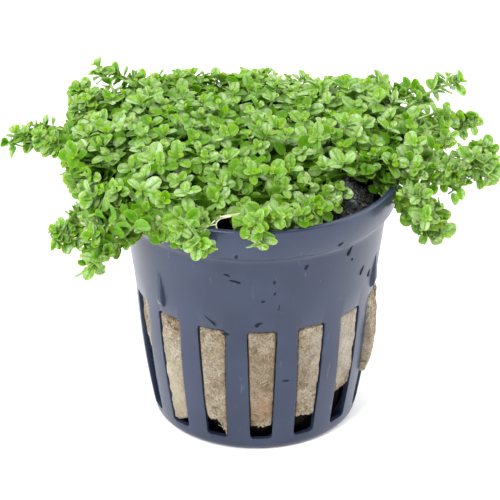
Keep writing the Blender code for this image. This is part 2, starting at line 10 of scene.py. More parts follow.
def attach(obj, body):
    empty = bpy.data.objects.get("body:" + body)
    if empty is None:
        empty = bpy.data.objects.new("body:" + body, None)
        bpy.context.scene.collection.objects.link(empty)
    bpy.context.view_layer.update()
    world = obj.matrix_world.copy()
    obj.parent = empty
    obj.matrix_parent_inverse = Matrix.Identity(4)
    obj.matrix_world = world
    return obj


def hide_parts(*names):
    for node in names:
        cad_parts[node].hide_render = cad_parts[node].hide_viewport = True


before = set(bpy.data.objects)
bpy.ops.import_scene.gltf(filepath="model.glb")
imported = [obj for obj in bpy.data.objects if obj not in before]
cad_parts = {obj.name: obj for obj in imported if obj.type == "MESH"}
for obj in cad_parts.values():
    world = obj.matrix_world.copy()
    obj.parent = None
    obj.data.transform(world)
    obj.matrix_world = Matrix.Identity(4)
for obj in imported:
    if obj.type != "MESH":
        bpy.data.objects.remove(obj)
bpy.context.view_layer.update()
MM = 0.001


# The studio: a white paper sweep in a pale world that is dimmer behind the camera, with four round lamps.
# The camera stands about half a metre off with a long lens and looks down at 27 degrees.
CAMERA_PLACE = (-0.001, -0.45849, 0.2669)
CAMERA_PITCH = math.radians(27.04)
CAMERA_LENS = 193.7
CAMERA_SENSOR = 36.0
# The world's light from behind the camera (0) to the far side (1)
WORLD_LIGHT = ((0.0, 0.28), (0.25, 0.44), (0.5, 0.9), (0.65, 1.3))
WORLD_STRENGTH = 0.88
# The lamps: name, place and aim in metres, breadth in metres, power in watts
LAMPS = (
    ("key", (-0.35, -0.55, 0.65), (0.0, 0.0, 0.04), 0.32, 7.2),
    ("fill", (0.6, 0.0, 0.4), (0.0, 0.0, 0.04), 0.5, 3.0),
    ("side", (-0.6, 0.0, 0.45), (0.0, 0.0, 0.05), 0.5, 2.0),
    ("back", (0.1, 0.6, 0.5), (0.0, 0.0, 0.05), 0.7, 2.0),
)
SWEEP_SIZE = 6.0
PAPER_WHITE = (0.96, 0.96, 0.96, 1.0)
PAPER_GLOW = 0.1


def placed(name, data):
    """Puts a mesh, camera or lamp into the scene as an object at the origin."""
    thing = bpy.data.objects.new(name, data)
    bpy.context.scene.collection.objects.link(thing)
    return thing


def as_mesh(name, bm):
    mesh = bpy.data.meshes.new(name)
    bm.to_mesh(mesh)
    bm.free()
    return mesh


def new_node(tree, kind, inputs=None, **settings):
    """Adds a shader node. inputs fills its sockets, each with a value or with another node's output."""
    made = tree.nodes.new(kind)
    for name, value in settings.items():
        setattr(made, name, value)
    for name, value in (inputs or {}).items():
        if isinstance(value, bpy.types.NodeSocket):
            tree.links.new(value, made.inputs[name])
        else:
            made.inputs[name].default_value = value
    return made


def ramp(tree, factor, stops):
    """A colour ramp through (place, colour or grey) stops; gives its colour output."""
    made = new_node(tree, "ShaderNodeValToRGB", {"Fac": factor})
    elements = made.color_ramp.elements
    while len(elements) < len(stops):
        elements.new(0.5)
    for element, (place, shade) in zip(elements, stops):
        element.position = place
        element.color = (*shade, 1.0) if isinstance(shade, tuple) else (shade, shade, shade, 1.0)
    return made.outputs["Color"]


def blended(tree, factor, first, second, kind="MIX"):
    """Mixes two colours; each is a colour or a node's output."""
    made = new_node(tree, "ShaderNodeMix", data_type="RGBA", blend_type=kind)
    for socket, value in zip((made.inputs[0], made.inputs[6], made.inputs[7]), (factor, first, second)):
        if isinstance(value, bpy.types.NodeSocket):
            tree.links.new(value, socket)
        else:
            socket.default_value = (*value, 1.0) if isinstance(value, tuple) else value
    return made.outputs[2]


def new_finish(name, settings):
    """Starts a material with shader settings; gives it, its nodes, its shader and Object coordinates."""
    finish = bpy.data.materials.new(name)
    finish.use_nodes = True
    tree = finish.node_tree
    shader = tree.nodes["Principled BSDF"]
    for socket, value in settings.items():
        shader.inputs[socket].default_value = value
    return finish, tree, shader, new_node(tree, "ShaderNodeTexCoord").outputs["Object"]


def studio_world():
    """White all round; the side behind the camera is dimmer, so turned forms darken towards the front."""
    world = bpy.data.worlds.new("studio")
    world.use_nodes = True
    tree = world.node_tree
    heading = new_node(tree, "ShaderNodeTexCoord").outputs["Generated"]
    depth = new_node(tree, "ShaderNodeSeparateXYZ", {"Vector": heading}).outputs["Y"]
    spread = new_node(tree, "ShaderNodeMapRange", {"Value": depth, "From Min": -1.0, "From Max": 1.0})
    background = tree.nodes["Background"]
    tree.links.new(ramp(tree, spread.outputs["Result"], WORLD_LIGHT), background.inputs["Color"])
    background.inputs["Strength"].default_value = WORLD_STRENGTH
    bpy.context.scene.world = world


def lamp(name, place, aim, breadth, power):
    light = bpy.data.lights.new(name, "AREA")
    light.shape = "DISK"
    light.size = breadth
    light.energy = power
    thing = placed(name, light)
    thing.location = place
    thing.rotation_euler = (Vector(aim) - Vector(place)).to_track_quat("-Z", "Y").to_euler()


camera = placed("camera", bpy.data.cameras.new("camera"))
camera.location = CAMERA_PLACE
camera.rotation_euler = (math.radians(90) - CAMERA_PITCH, 0.0, 0.0)
camera.data.lens = CAMERA_LENS
camera.data.sensor_width = CAMERA_SENSOR
camera.data.clip_start = 0.01
bpy.context.scene.camera = camera
bpy.context.scene.view_settings.view_transform = "Standard"
studio_world()
for row in LAMPS:
    lamp(*row)

sweep = bmesh.new()
bmesh.ops.create_grid(sweep, x_segments=1, y_segments=1, size=SWEEP_SIZE)
floor = placed("sweep", as_mesh("sweep", sweep))
paper = {
    "Base Color": PAPER_WHITE,
    "Roughness": 0.9,
    "Emission Color": (1.0, 1.0, 1.0, 1.0),
    "Emission Strength": PAPER_GLOW,
}
floor.data.materials.append(new_finish("white_paper", paper)[0])


# The pot: one thin cup injection-moulded in blue-grey polypropylene, with a collar and a flat lip, fifteen
# tapered slots, three stacking lugs and a drained floor. Everything else stands in it. From here on, sizes
# are in millimetres, and azimuths run from the front to the right.
POT_COLOR = (0.0215, 0.0295, 0.062)
POT_PALE = (0.029, 0.039, 0.079)
POT_DARK = (0.0165, 0.023, 0.049)
POT_SCUFF = (0.10, 0.115, 0.16)
POT_GLINT = (0.80, 0.87, 1.0, 1.0)
POT_SHEEN = (0.65, 0.75, 1.0, 1.0)
RIM_RADIUS = 27.5
POT_HEIGHT = 50.3
COLLAR_FOOT = 43.0
WALL_TOP_RADIUS = 25.0
COLLAR_RADIUS = 26.5
COLLAR_FILLET_TOP = 44.7
COLLAR_FILLET_CENTRE = (27.6, 41.9)
COLLAR_FILLET = 2.75
LIP_WIDTH = 1.15
LIP_ROUND = 0.3
LIP_INNER_ROUND = 0.2
# The bore under the lip, as (radius, height)
LIP_BORE = ((25.3, 45.2), (24.3, 43.4))
SLOT_TOP = 27.6
SLOT_TOP_RADIUS = 23.0
SLOT_BOTTOM = 2.8
SLOT_BOTTOM_RADIUS = 20.0
WALL_BULGE = 0.45
WALL = 1.0
# How many rows the wall has beside the slots, and the heights of those above them and down the bore
WALL_ROWS = 12
UPPER_WALL_ROWS = (32.0, 37.0, 41.4)
BORE_ROWS = (41.0, 34.0, SLOT_TOP, 20.0, 12.0, SLOT_BOTTOM)
FLOOR = 1.2
FLOOR_HUB = 6.0
FLOOR_FILLET = 0.6
BASE_CORNER = 1.6
SLOTS = 15
SLOT_PHASE = math.radians(3.15)
SLOT_HALF_TOP = 0.126
SLOT_HALF_BOTTOM = 0.104
SLOT_CORNER = 0.8
SLOT_CUT_REACH = 2.5
DRAIN_CUT_REACH = 1.0
LUGS = 3
LUG_AZIMUTH = math.radians(-48.5)
LUG_WIDTH = 1.2
LUG_TOP = 36.5
LUG_BOTTOM = 28.6
LUG_DEPTH = 1.0
LUG_SUNK = 0.4
# The lug's outer edge above its foot, as (how far it is turned in, height)
LUG_TOE = ((0.0, 2.4), (0.12, 1.6), (0.4, 0.9))
DRAINS = 5
DRAIN_INNER = 7.5
DRAIN_OUTER = 14.5
DRAIN_ANGLE = math.radians(38)
POT_STEPS = 180
EDGE_ROUND = 0.12


def shade(mesh, sharp_degrees):
    mesh.shade_smooth()
    mesh.set_sharp_from_angle(angle=math.radians(sharp_degrees))


def finished(name, mesh, finish, sharp_degrees):
    """Shades a mesh, gives it its finish and puts it on the root body as an object."""
    shade(mesh, sharp_degrees)
    mesh.materials.append(finish)
    thing = placed(name, mesh)
    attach(thing, "root")
    return thing


def to_metres(bm):
    bmesh.ops.scale(bm, vec=(MM, MM, MM), verts=bm.verts)
    return bm


def made_piece(name, bm, finish, sharp_degrees=40):
    """Makes a piece of a millimetre bmesh."""
    return finished(name, as_mesh(name, to_metres(bm)), finish, sharp_degrees)


def clipped(share):
    return min(1.0, max(0.0, share))


def polar(radius, azimuth, height):
    """A point round the pot's axis."""
    return Vector((radius * math.sin(azimuth), -radius * math.cos(azimuth), height))


def azimuth_of(spot):
    return math.atan2(spot.x, -spot.y)


def arc(centre, radius, start, end, steps):
    """Points on part of a circle in (radius, height), with angles in degrees from straight outwards."""
    angles = [math.radians(start + (end - start) * step / steps) for step in range(steps + 1)]
    return [(centre[0] + radius * math.cos(angle), centre[1] + radius * math.sin(angle)) for angle in angles]


def wall_radius(height):
    if height > SLOT_TOP:
        share = (height - SLOT_TOP) / (COLLAR_FOOT - SLOT_TOP)
        return SLOT_TOP_RADIUS + share * (WALL_TOP_RADIUS - SLOT_TOP_RADIUS)
    share = (height - SLOT_BOTTOM) / (SLOT_TOP - SLOT_BOTTOM)
    bulge = WALL_BULGE * math.sin(math.pi * clipped(share))
    return SLOT_BOTTOM_RADIUS + share * (SLOT_TOP_RADIUS - SLOT_BOTTOM_RADIUS) + bulge


def bore_radius(height):
    return wall_radius(height) - WALL


def pot_outline():
    """From the underside's centre up the outside, over the lip and down the inside to the floor's centre."""
    foot = (wall_radius(0.0) - BASE_CORNER, BASE_CORNER)
    points = [(0.0, 0.0), (FLOOR_HUB, 0.0)] + arc(foot, BASE_CORNER, -90, -8, 6)
    points += [(wall_radius(height), height) for height in np.linspace(SLOT_BOTTOM, SLOT_TOP, WALL_ROWS)]
    points += [(wall_radius(height), height) for height in UPPER_WALL_ROWS]
    points += arc(COLLAR_FILLET_CENTRE, COLLAR_FILLET, 172, 118, 5)
    points += [(COLLAR_RADIUS + 0.05, COLLAR_FILLET_TOP)]
    points += arc((RIM_RADIUS - LIP_ROUND, POT_HEIGHT - LIP_ROUND), LIP_ROUND, 0, 90, 4)
    inner = (RIM_RADIUS - LIP_WIDTH + LIP_INNER_ROUND, POT_HEIGHT - LIP_INNER_ROUND)
    points += arc(inner, LIP_INNER_ROUND, 90, 170, 3)
    points += LIP_BORE
    points += [(bore_radius(height), height) for height in BORE_ROWS]
    points += [(bore_radius(FLOOR) - FLOOR_FILLET, FLOOR), (FLOOR_HUB, FLOOR), (0.0, FLOOR)]
    return points


def turned(points, steps):
    """Spins an outline whose ends are on the axis into a closed solid."""
    bm = bmesh.new()
    line = [bm.verts.new((radius, 0.0, height)) for radius, height in points]
    edges = [bm.edges.new(pair) for pair in zip(line, line[1:])]
    bmesh.ops.spin(
        bm, geom=line + edges, cent=(0, 0, 0), axis=(0, 0, 1), angle=math.tau, steps=steps, use_merge=True
    )
    bmesh.ops.remove_doubles(bm, verts=bm.verts, dist=0.001)
    bmesh.ops.recalc_face_normals(bm, faces=bm.faces)
    return bm


def slot_block(azimuth):
    """The space of one slot: a block through the wall, narrower at its foot, with rounded corners."""
    bm = bmesh.new()
    bmesh.ops.create_cube(bm, size=1.0)
    for vert in bm.verts:
        top = vert.co.z > 0
        half = SLOT_HALF_TOP * SLOT_TOP_RADIUS if top else SLOT_HALF_BOTTOM * SLOT_BOTTOM_RADIUS
        out = RIM_RADIUS + SLOT_CUT_REACH if vert.co.y < 0 else DRAIN_OUTER
        vert.co = Vector((math.copysign(half, vert.co.x), -out, SLOT_TOP if top else SLOT_BOTTOM))
    lengthwise = [edge for edge in bm.edges if abs(edge.verts[0].co.y - edge.verts[1].co.y) > 1.0]
    bmesh.ops.bevel(
        bm, geom=lengthwise, offset=SLOT_CORNER, segments=5, profile=0.5, affect="EDGES", material=-1
    )
    bmesh.ops.rotate(bm, verts=bm.verts, matrix=Matrix.Rotation(azimuth, 3, "Z"))
    bmesh.ops.recalc_face_normals(bm, faces=bm.faces)
    return bm


def prism(outline, along):
    """A flat outline drawn out along a vector into a closed solid."""
    bm = bmesh.new()
    face = bm.faces.new([bm.verts.new(point) for point in outline])
    grown = bmesh.ops.extrude_face_region(bm, geom=[face])
    moved = [item for item in grown["geom"] if isinstance(item, bmesh.types.BMVert)]
    bmesh.ops.translate(bm, verts=moved, vec=along)
    bmesh.ops.recalc_face_normals(bm, faces=bm.faces)
    return bm


def drain_block(azimuth):
    """The space of one curved slot through the floor."""
    angles = [azimuth + DRAIN_ANGLE * (step / 6 - 0.5) for step in range(7)]
    outline = [polar(DRAIN_INNER, angle, -DRAIN_CUT_REACH) for angle in angles]
    outline += [polar(DRAIN_OUTER, angle, -DRAIN_CUT_REACH) for angle in reversed(angles)]
    return prism(outline, (0, 0, FLOOR + 2 * DRAIN_CUT_REACH))


def lug_fin(azimuth):
    """A stacking lug: an upright fin whose outer edge hangs plumb and turns in to the wall at its foot."""
    edge = wall_radius(LUG_TOP) - 0.02
    belly = min(edge, wall_radius(LUG_BOTTOM) + LUG_DEPTH)
    outline = [(wall_radius(LUG_TOP) - LUG_SUNK, LUG_TOP), (edge, LUG_TOP - 0.3)]
    outline += [(belly - inward, LUG_BOTTOM + rise) for inward, rise in LUG_TOE]
    outline += [(wall_radius(LUG_BOTTOM) - LUG_SUNK, LUG_BOTTOM)]
    bm = prism([(-LUG_WIDTH / 2, -radius, height) for radius, height in outline], (LUG_WIDTH, 0, 0))
    bmesh.ops.rotate(bm, verts=bm.verts, matrix=Matrix.Rotation(azimuth, 3, "Z"))
    return bm


def joined(shapes):
    """Gathers several bmeshes into one."""
    whole = bmesh.new()
    for shape in shapes:
        part = as_mesh("part", shape)
        whole.from_mesh(part)
        bpy.data.meshes.remove(part)
    return whole


def carve(target, shape, operation):
    """Applies a Boolean of a millimetre bmesh to a finished object."""
    tool = placed("tool", as_mesh("tool", to_metres(shape)))
    step = target.modifiers.new("step", "BOOLEAN")
    step.operation = operation
    step.object = tool
    step.solver = "EXACT"
    settle(target)
    bpy.data.objects.remove(tool)


def settle(thing):
    """Makes an object's modified mesh its own."""
    bpy.context.view_layer.update()
    graph = bpy.context.evaluated_depsgraph_get()
    mesh = bpy.data.meshes.new_from_object(thing.evaluated_get(graph))
    thing.modifiers.clear()
    thing.data = mesh


def cloud(tree, place, scale, detail=2.0, **more):
    """A noise pattern's grey output."""
    sockets = {"Vector": place, "Scale": scale, "Detail": detail, **more}
    return new_node(tree, "ShaderNodeTexNoise", sockets).outputs["Fac"]


def add_grain(tree, shader, height, strength, depth):
    """Roughens the shading by a grey pattern; depth is in metres."""
    bump = new_node(tree, "ShaderNodeBump", {"Height": height, "Strength": strength, "Distance": depth})
    tree.links.new(bump.outputs["Normal"], shader.inputs["Normal"])


def pot_plastic():
    """Matte plastic with a faint flow mottle, pale scuffs drawn upright and a fine grain."""
    settings = {
        "Specular IOR Level": 0.5,
        "Specular Tint": POT_GLINT,
        "Sheen Weight": 0.14,
        "Sheen Roughness": 0.3,
        "Sheen Tint": POT_SHEEN,
    }
    finish, tree, shader, place = new_finish("pot_plastic", settings)
    mottle = cloud(tree, place, 90.0, 4.0)
    color = ramp(tree, mottle, ((0.3, POT_DARK), (0.5, POT_COLOR), (0.75, POT_PALE)))
    drawn = new_node(tree, "ShaderNodeMapping", {"Vector": place, "Scale": (1.0, 1.0, 0.25)})
    scuffs = ramp(tree, cloud(tree, drawn.outputs["Vector"], 900.0, 3.0), ((0.66, 0.0), (0.74, 0.35)))
    tree.links.new(blended(tree, scuffs, color, POT_SCUFF), shader.inputs["Base Color"])
    rough = new_node(tree, "ShaderNodeMapRange", {"Value": mottle, "To Min": 0.24, "To Max": 0.38})
    tree.links.new(rough.outputs["Result"], shader.inputs["Roughness"])
    add_grain(tree, shader, cloud(tree, place, 2600.0), 0.12, 0.0001)
    return finish


pot = made_piece("pot_moulding", turned(pot_outline(), POT_STEPS), pot_plastic(), 30)
carve(pot, joined(lug_fin(LUG_AZIMUTH + index * math.tau / LUGS) for index in range(LUGS)), "UNION")
openings = [slot_block(SLOT_PHASE + index * (math.tau / SLOTS)) for index in range(SLOTS)]
openings += [drain_block((index + 0.5) * math.tau / DRAINS) for index in range(DRAINS)]
carve(pot, joined(openings), "DIFFERENCE")
rounding = pot.modifiers.new("rounding", "BEVEL")
rounding.width = EDGE_ROUND * MM
rounding.segments = 2
rounding.limit_method = "ANGLE"
rounding.angle_limit = math.radians(50)
rounding.use_clamp_overlap = True
settle(pot)
shade(pot.data, 35)
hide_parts("pot")


# Soil specks: crumbs and short splinters of the wet medium that stuck to the pot's wall when it was planted.
# Each is a flattened crumb. Rows are azimuth, height, length, width and lean from upright, angles in degrees.
SPECKS = (
    (-8.8, 38.7, 2.2, 0.5, 101),
    (-12.2, 40.0, 1.3, 0.4, 108),
    (35.8, 45.2, 1.5, 0.8, 80),
    (37.2, 44.2, 0.9, 0.5, 30),
    (44.6, 41.9, 2.7, 0.75, 33),
    (55.8, 35.7, 2.5, 0.7, 32),
    (22.0, 41.1, 1.1, 0.7, 30),
    (8.1, 38.5, 0.8, 0.55, 0),
    (46.7, 39.6, 0.6, 0.5, 0),
    (63.5, 33.6, 2.0, 0.6, 25),
    (0.8, 29.1, 1.2, 0.8, 60),
    (2.0, 29.5, 1.0, 0.4, 80),
    (8.5, 36.0, 0.7, 0.35, 20),
    (3.4, 34.4, 0.9, 0.4, 75),
    (10.6, 33.0, 1.6, 0.18, 8),
    (14.9, 16.3, 1.4, 0.45, 92),
    (-21.4, 29.4, 3.6, 0.24, 128),
    (-14.0, 26.8, 1.4, 0.5, 90),
    (-7.5, 45.0, 1.0, 0.6, 20),
)
SPECK_THICK = 0.22
SPECK_DARK = (0.007, 0.009, 0.020)
SPECK_PALE = (0.018, 0.022, 0.042)


def speck(azimuth, height, length, width, lean):
    """A flattened crumb that lies on the wall with its long side leaned from upright."""
    bm = bmesh.new()
    bmesh.ops.create_icosphere(bm, subdivisions=2, radius=0.5)
    for vert in bm.verts:
        vert.co *= 1.0 + 0.5 * noise.noise(vert.co * 2.4 + Vector((azimuth, height, 0.0)))
    flat = Matrix.Diagonal((width, SPECK_THICK, length, 1.0))
    leaned = Matrix.Rotation(math.radians(lean), 4, "Y")
    facing = Matrix.Rotation(math.radians(azimuth), 4, "Z")
    radius = COLLAR_RADIUS + 0.1 if height > COLLAR_FILLET_TOP else wall_radius(height) + 0.02
    at = Matrix.Translation(polar(radius, math.radians(azimuth), height))
    bmesh.ops.transform(bm, matrix=at @ facing @ leaned @ flat, verts=bm.verts)
    return bm


def mottled(name, scale, stops, settings, detail=2.0):
    """A finish whose colour drifts through the stops from place to place."""
    finish, tree, shader, place = new_finish(name, settings)
    tree.links.new(ramp(tree, cloud(tree, place, scale, detail), stops), shader.inputs["Base Color"])
    return finish


dull = {"Roughness": 0.8, "Specular IOR Level": 0.2}
speck_soil = mottled("speck_soil", 2500.0, ((0.35, SPECK_DARK), (0.7, SPECK_PALE)), dull)
specks = made_piece("soil_specks", joined(speck(*row) for row in SPECKS), speck_soil)


# The rock wool: a tapered plug of felted mineral fibre, tan with brown specks, pushed down into the pot until
# it swells out of the slots, most of all at the right and least in one slot at the left. Its torn lower edge
# stands off the floor and its underside is painted near-black as shade, so the slots show dark at their feet.
WOOL_TOP = 38.6
# The plug's lower edge, as (azimuth in degrees, height)
WOOL_FEET = (
    (-180, 5.0), (-84, 5.0), (-78, 18.5), (-62, 16.0), (-57, 3.0), (-46, 3.2), (-41, 4.8), (-29, 6.4),
    (-20, 5.8), (-15.5, 3.0), (-8, 5.2), (10, 5.6), (18, 7.0), (33, 6.6), (42, 9.6), (57, 10.8),
    (76, 10.0), (100, 7.0), (140, 5.0), (180, 5.0),
)
WOOL_EDGE_ROUND = 1.6
# Layers of lumps, as (height, closeness)
WOOL_LUMPS = ((0.2, 0.4), (0.14, 1.4), (0.1, 3.6))
WOOL_SWELL = 1.12
WOOL_BULGE = 1.5
BULGE_AZIMUTH = math.radians(88)
BULGE_FOOT = 5.0
WOOL_SUNK = 0.55
SUNK_AZIMUTH = math.radians(-70)
# How far round the bulge and the sunk slot reach, as the cosine of the angle
BULGE_REACH = 0.93
SUNK_REACH = 0.97
WOOL_GAP = 0.3
# How the wool fills a slot: the margin at each side in radians, how squarely it swells, the ease at the head
WOOL_MARGIN = 0.003
WOOL_SQUARE = 24
WOOL_HEAD_GAP = 0.1
WOOL_HEAD_EASE = 0.5
WOOL_STEPS = 720
WOOL_ROWS = 66
WOOL_TAN = (0.325, 0.265, 0.185)
WOOL_PALE = (0.43, 0.375, 0.295)
WOOL_BROWN = (0.155, 0.105, 0.060)
WOOL_RUST = (0.36, 0.20, 0.11)
WOOL_GRIT = (0.11, 0.07, 0.04)
WOOL_UNDERSIDE_SHADE = (0.012, 0.010, 0.009)
# Darker, paler and rust-coloured patches: where, how far they reach in metres, colour and strength
WOOL_PATCHES = (
    ((0.0016, -0.0208, 0.0105), 0.0042, WOOL_RUST, 0.6),
    ((0.0012, -0.0215, 0.0180), 0.0120, (0.22, 0.165, 0.108), 0.45),
    ((-0.0165, -0.0140, 0.0120), 0.0130, (0.56, 0.51, 0.40), 0.6),
    ((0.0165, -0.0150, 0.0200), 0.0110, (0.58, 0.54, 0.49), 0.6),
)
WOOL_SEAT_RADIUS = 16.6
WOOL_SEAT = 1.35
FIBRES = 1500
FIBRE_LENGTHS = (0.7, 1.9)
FIBRE_RADII = (0.016, 0.032)
FIBRE_DARK = (0.33, 0.24, 0.13)
FIBRE_PALE = (0.62, 0.53, 0.37)


def slot_share(azimuth, height):
    """1 along a slot's centre line, falling to 0 at its edges and behind the ribs."""
    pitch = math.tau / SLOTS
    offset = abs((azimuth - SLOT_PHASE + pitch / 2) % pitch - pitch / 2)
    low = (height - SLOT_BOTTOM) / (SLOT_TOP - SLOT_BOTTOM)
    half = SLOT_HALF_BOTTOM + (SLOT_HALF_TOP - SLOT_HALF_BOTTOM) * clipped(low)
    across = max(0.0, 1.0 - (offset / (half - WOOL_MARGIN)) ** WOOL_SQUARE)
    return across * clipped((SLOT_TOP - WOOL_HEAD_GAP - height) / WOOL_HEAD_EASE)


def wool_foot(azimuth):
    """The plug's ragged lower edge."""
    ragged = 0.9 * noise.noise(Vector((math.sin(azimuth) * 4, math.cos(azimuth) * 4, 0.3)))
    fine = 0.8 * noise.noise(Vector((azimuth * 60, 3.7, 0.0)))
    level = np.interp(math.degrees(azimuth), *zip(*WOOL_FEET))
    return float(level) + 0.6 * ragged + fine


def lumpy(spot, layers):
    """A rough height: the sum of its layers of noise."""
    return sum(height * noise.noise(spot * closeness) for height, closeness in layers)


def wool_surface(azimuth, height):
    """The plug's outer radius: snug in the bore, and swelling out where a slot lets it."""
    lumps = lumpy(polar(SLOT_BOTTOM_RADIUS, azimuth, height), WOOL_LUMPS)
    sunk = math.cos(azimuth - SUNK_AZIMUTH) > SUNK_REACH
    swell = WOOL_SWELL - (WOOL_SUNK if sunk else 0.0)
    if math.cos(azimuth - BULGE_AZIMUTH) > BULGE_REACH:
        swell += WOOL_BULGE * max(0.0, math.sin(math.pi * (SLOT_TOP - height) / (SLOT_TOP - BULGE_FOOT)))
    free = slot_share(azimuth, height)
    base = bore_radius(height) - WOOL_GAP
    return base + free * (swell + lumps * 1.2) + (1.0 - free) * min(lumps, 0.0)


def wool_plug():
    """A fine cylinder whose rows and columns are moved on to the plug's surface, closed above and below."""
    bm = bmesh.new()
    under = bm.verts.layers.float.new("under")
    bmesh.ops.create_circle(bm, segments=WOOL_STEPS, radius=1.0)
    edges = bm.edges[:]
    rings = [bm.verts[:]]
    for _ in range(WOOL_ROWS):
        grown = bmesh.ops.extrude_edge_only(bm, edges=edges)["geom"]
        edges = [item for item in grown if isinstance(item, bmesh.types.BMEdge)]
        edges = [edge for edge in edges if all(len(vert.link_faces) < 3 for vert in edge.verts)]
        rings.append([item for item in grown if isinstance(item, bmesh.types.BMVert)])
        bmesh.ops.translate(bm, verts=rings[-1], vec=(0, 0, 1.0))
    for row, ring in enumerate(rings):
        for vert in ring:
            azimuth = azimuth_of(vert.co)
            foot = wool_foot(azimuth)
            height = foot + (WOOL_TOP - foot) * row / WOOL_ROWS
            radius = wool_surface(azimuth, height)
            if row == 0:
                radius -= WOOL_EDGE_ROUND
            vert.co = polar(radius, azimuth, height)

    def open_edges(ring):
        ends = set(ring)
        return [edge for edge in bm.edges if edge.is_boundary and edge.verts[0] in ends]

    # The lowest ring and the seat below it are marked as underside, where the finish paints near-black shade.
    for vert in rings[0]:
        vert[under] = 1.0
    grown = bmesh.ops.extrude_edge_only(bm, edges=open_edges(rings[0]))["geom"]
    rings[0] = [item for item in grown if isinstance(item, bmesh.types.BMVert)]
    for vert in rings[0]:
        vert.co = polar(WOOL_SEAT_RADIUS, azimuth_of(vert.co), WOOL_SEAT)
        vert[under] = 1.0
    for ring, height in ((rings[0], WOOL_SEAT), (rings[-1], WOOL_TOP)):
        lid = bmesh.ops.contextual_create(bm, geom=open_edges(ring))["faces"]
        hub = bmesh.ops.poke(bm, faces=lid)["verts"][0]
        hub.co = Vector((0.0, 0.0, height))
    bmesh.ops.recalc_face_normals(bm, faces=bm.faces)
    return bm


def wool_felt():
    """Tan fibre with pale strands, brown binder patches, dark specks, darker, paler and rusty patches, and
    painted shade below.
    """
    finish, tree, shader, place = new_finish("wool_felt", {"Roughness": 0.95, "Specular IOR Level": 0.2})
    broad = cloud(tree, place, 260.0, 5.0, Roughness=0.65)
    color = ramp(tree, broad, ((0.32, WOOL_BROWN), (0.46, WOOL_TAN), (0.62, WOOL_PALE)))
    strand = cloud(tree, place, 1500.0, 4.0, Roughness=0.7, Distortion=1.6)
    light = ramp(tree, strand, ((0.35, 0.32), (0.5, 0.92), (0.66, 1.4)))
    color = blended(tree, 1.0, color, light, "MULTIPLY")
    grit = ramp(tree, cloud(tree, place, 900.0), ((0.62, 0.0), (0.7, 0.85)))
    color = blended(tree, grit, color, WOOL_GRIT)
    for centre, reach, patch_colour, strength in WOOL_PATCHES:
        near = new_node(tree, "ShaderNodeVectorMath", {0: place, 1: centre}, operation="DISTANCE")
        limits = {"From Min": reach / 8, "From Max": reach, "To Min": strength, "To Max": 0.0}
        share = new_node(tree, "ShaderNodeMapRange", {"Value": near.outputs["Value"], **limits})
        color = blended(tree, share.outputs["Result"], color, patch_colour)
    # Painted shade: the marked underside turns near-black, standing in for the shade under the plug.
    under = new_node(tree, "ShaderNodeAttribute", attribute_name="under").outputs["Fac"]
    color = blended(tree, ramp(tree, under, ((0.25, 0.0), (0.9, 1.0))), color, WOOL_UNDERSIDE_SHADE)
    tree.links.new(color, shader.inputs["Base Color"])
    add_grain(tree, shader, strand, 0.9, 0.0005)
    return finish


wool = made_piece("rock_wool_block", wool_plug(), wool_felt(), 180)
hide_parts("rock_wool_plug")


def copies(name, pattern, places, finish, marks=None, sharp_degrees=60):
    """Joins a copy of a small triangulated pattern at each 4x4 place; marks are per-copy shading values."""
    shape = np.array([vert.co for vert in pattern.vertices])
    faces = np.array([tuple(face.vertices) for face in pattern.polygons])
    grid = np.array([[list(row) for row in place] for place in places])
    points = np.einsum("mij,nj->mni", grid[:, :3, :3], shape) + grid[:, None, :3, 3]
    steps = np.arange(len(places)) * len(shape)
    mesh = bpy.data.meshes.new(name)
    corners = (faces[None] + steps[:, None, None]).reshape(-1, 3)
    mesh.from_pydata((points.reshape(-1, 3) * MM).tolist(), [], corners.tolist())
    if pattern.uv_layers:
        flat = np.zeros(len(pattern.loops) * 2)
        pattern.uv_layers[0].data.foreach_get("uv", flat)
        mesh.uv_layers.new(name="blade").data.foreach_set("uv", np.tile(flat, len(places)))
    for mark, values in (marks or {}).items():
        layer = mesh.attributes.new(mark, "FLOAT", "POINT")
        layer.data.foreach_set("value", np.repeat(np.array(values, np.float32), len(shape)))
    return finished(name, mesh, finish, sharp_degrees)


def rod_pattern(sides):
    """A closed rod from the origin to 1 mm up +Z, with a radius of 1 mm."""
    bm = bmesh.new()
    bmesh.ops.create_cone(bm, cap_ends=True, segments=sides, radius1=1.0, radius2=1.0, depth=1.0)
    bmesh.ops.translate(bm, verts=bm.verts, vec=(0, 0, 0.5))
    bmesh.ops.triangulate(bm, faces=bm.faces)
    return as_mesh("rod", bm)


def rod_place(start, end, radius):
    """The place that stretches a rod from one point to another."""
    along = end - start
    turn_to = along.to_track_quat("Z", "Y").to_matrix().to_4x4()
    return Matrix.Translation(start) @ turn_to @ Matrix.Diagonal((radius, radius, along.length, 1.0))


def wool_fibres():
    """Loose fibres that lie on the plug where the slots bare it."""
    rng = random.Random(21)
    places = []
    while len(places) < FIBRES:
        azimuth = rng.uniform(-math.pi, math.pi)
        height = rng.uniform(wool_foot(azimuth) + 0.3, SLOT_TOP - 0.6)
        if slot_share(azimuth, height) < 0.5:
            continue
        start = polar(wool_surface(azimuth, height) + 0.02, azimuth, height)
        lean = rng.uniform(-1.3, 1.3)
        length = rng.uniform(*FIBRE_LENGTHS)
        side = polar(1.0, azimuth + math.pi / 2, 0.0) * math.sin(lean) + Vector((0, 0, math.cos(lean)))
        end = start + side * length
        round_to = azimuth_of(end)
        if slot_share(round_to, end.z) < 0.3 or end.z > SLOT_TOP - 0.5:
            continue
        end = polar(wool_surface(round_to, end.z) + rng.uniform(0.0, 0.12), round_to, end.z)
        places.append(rod_place(start, end, rng.uniform(*FIBRE_RADII)))
    return places


wool_fibre = mottled("wool_fibre", 700.0, ((0.35, FIBRE_DARK), (0.6, FIBRE_PALE)), {"Roughness": 0.6})
fibres = copies("wool_fibres", rod_pattern(3), wool_fibres(), wool_fibre)


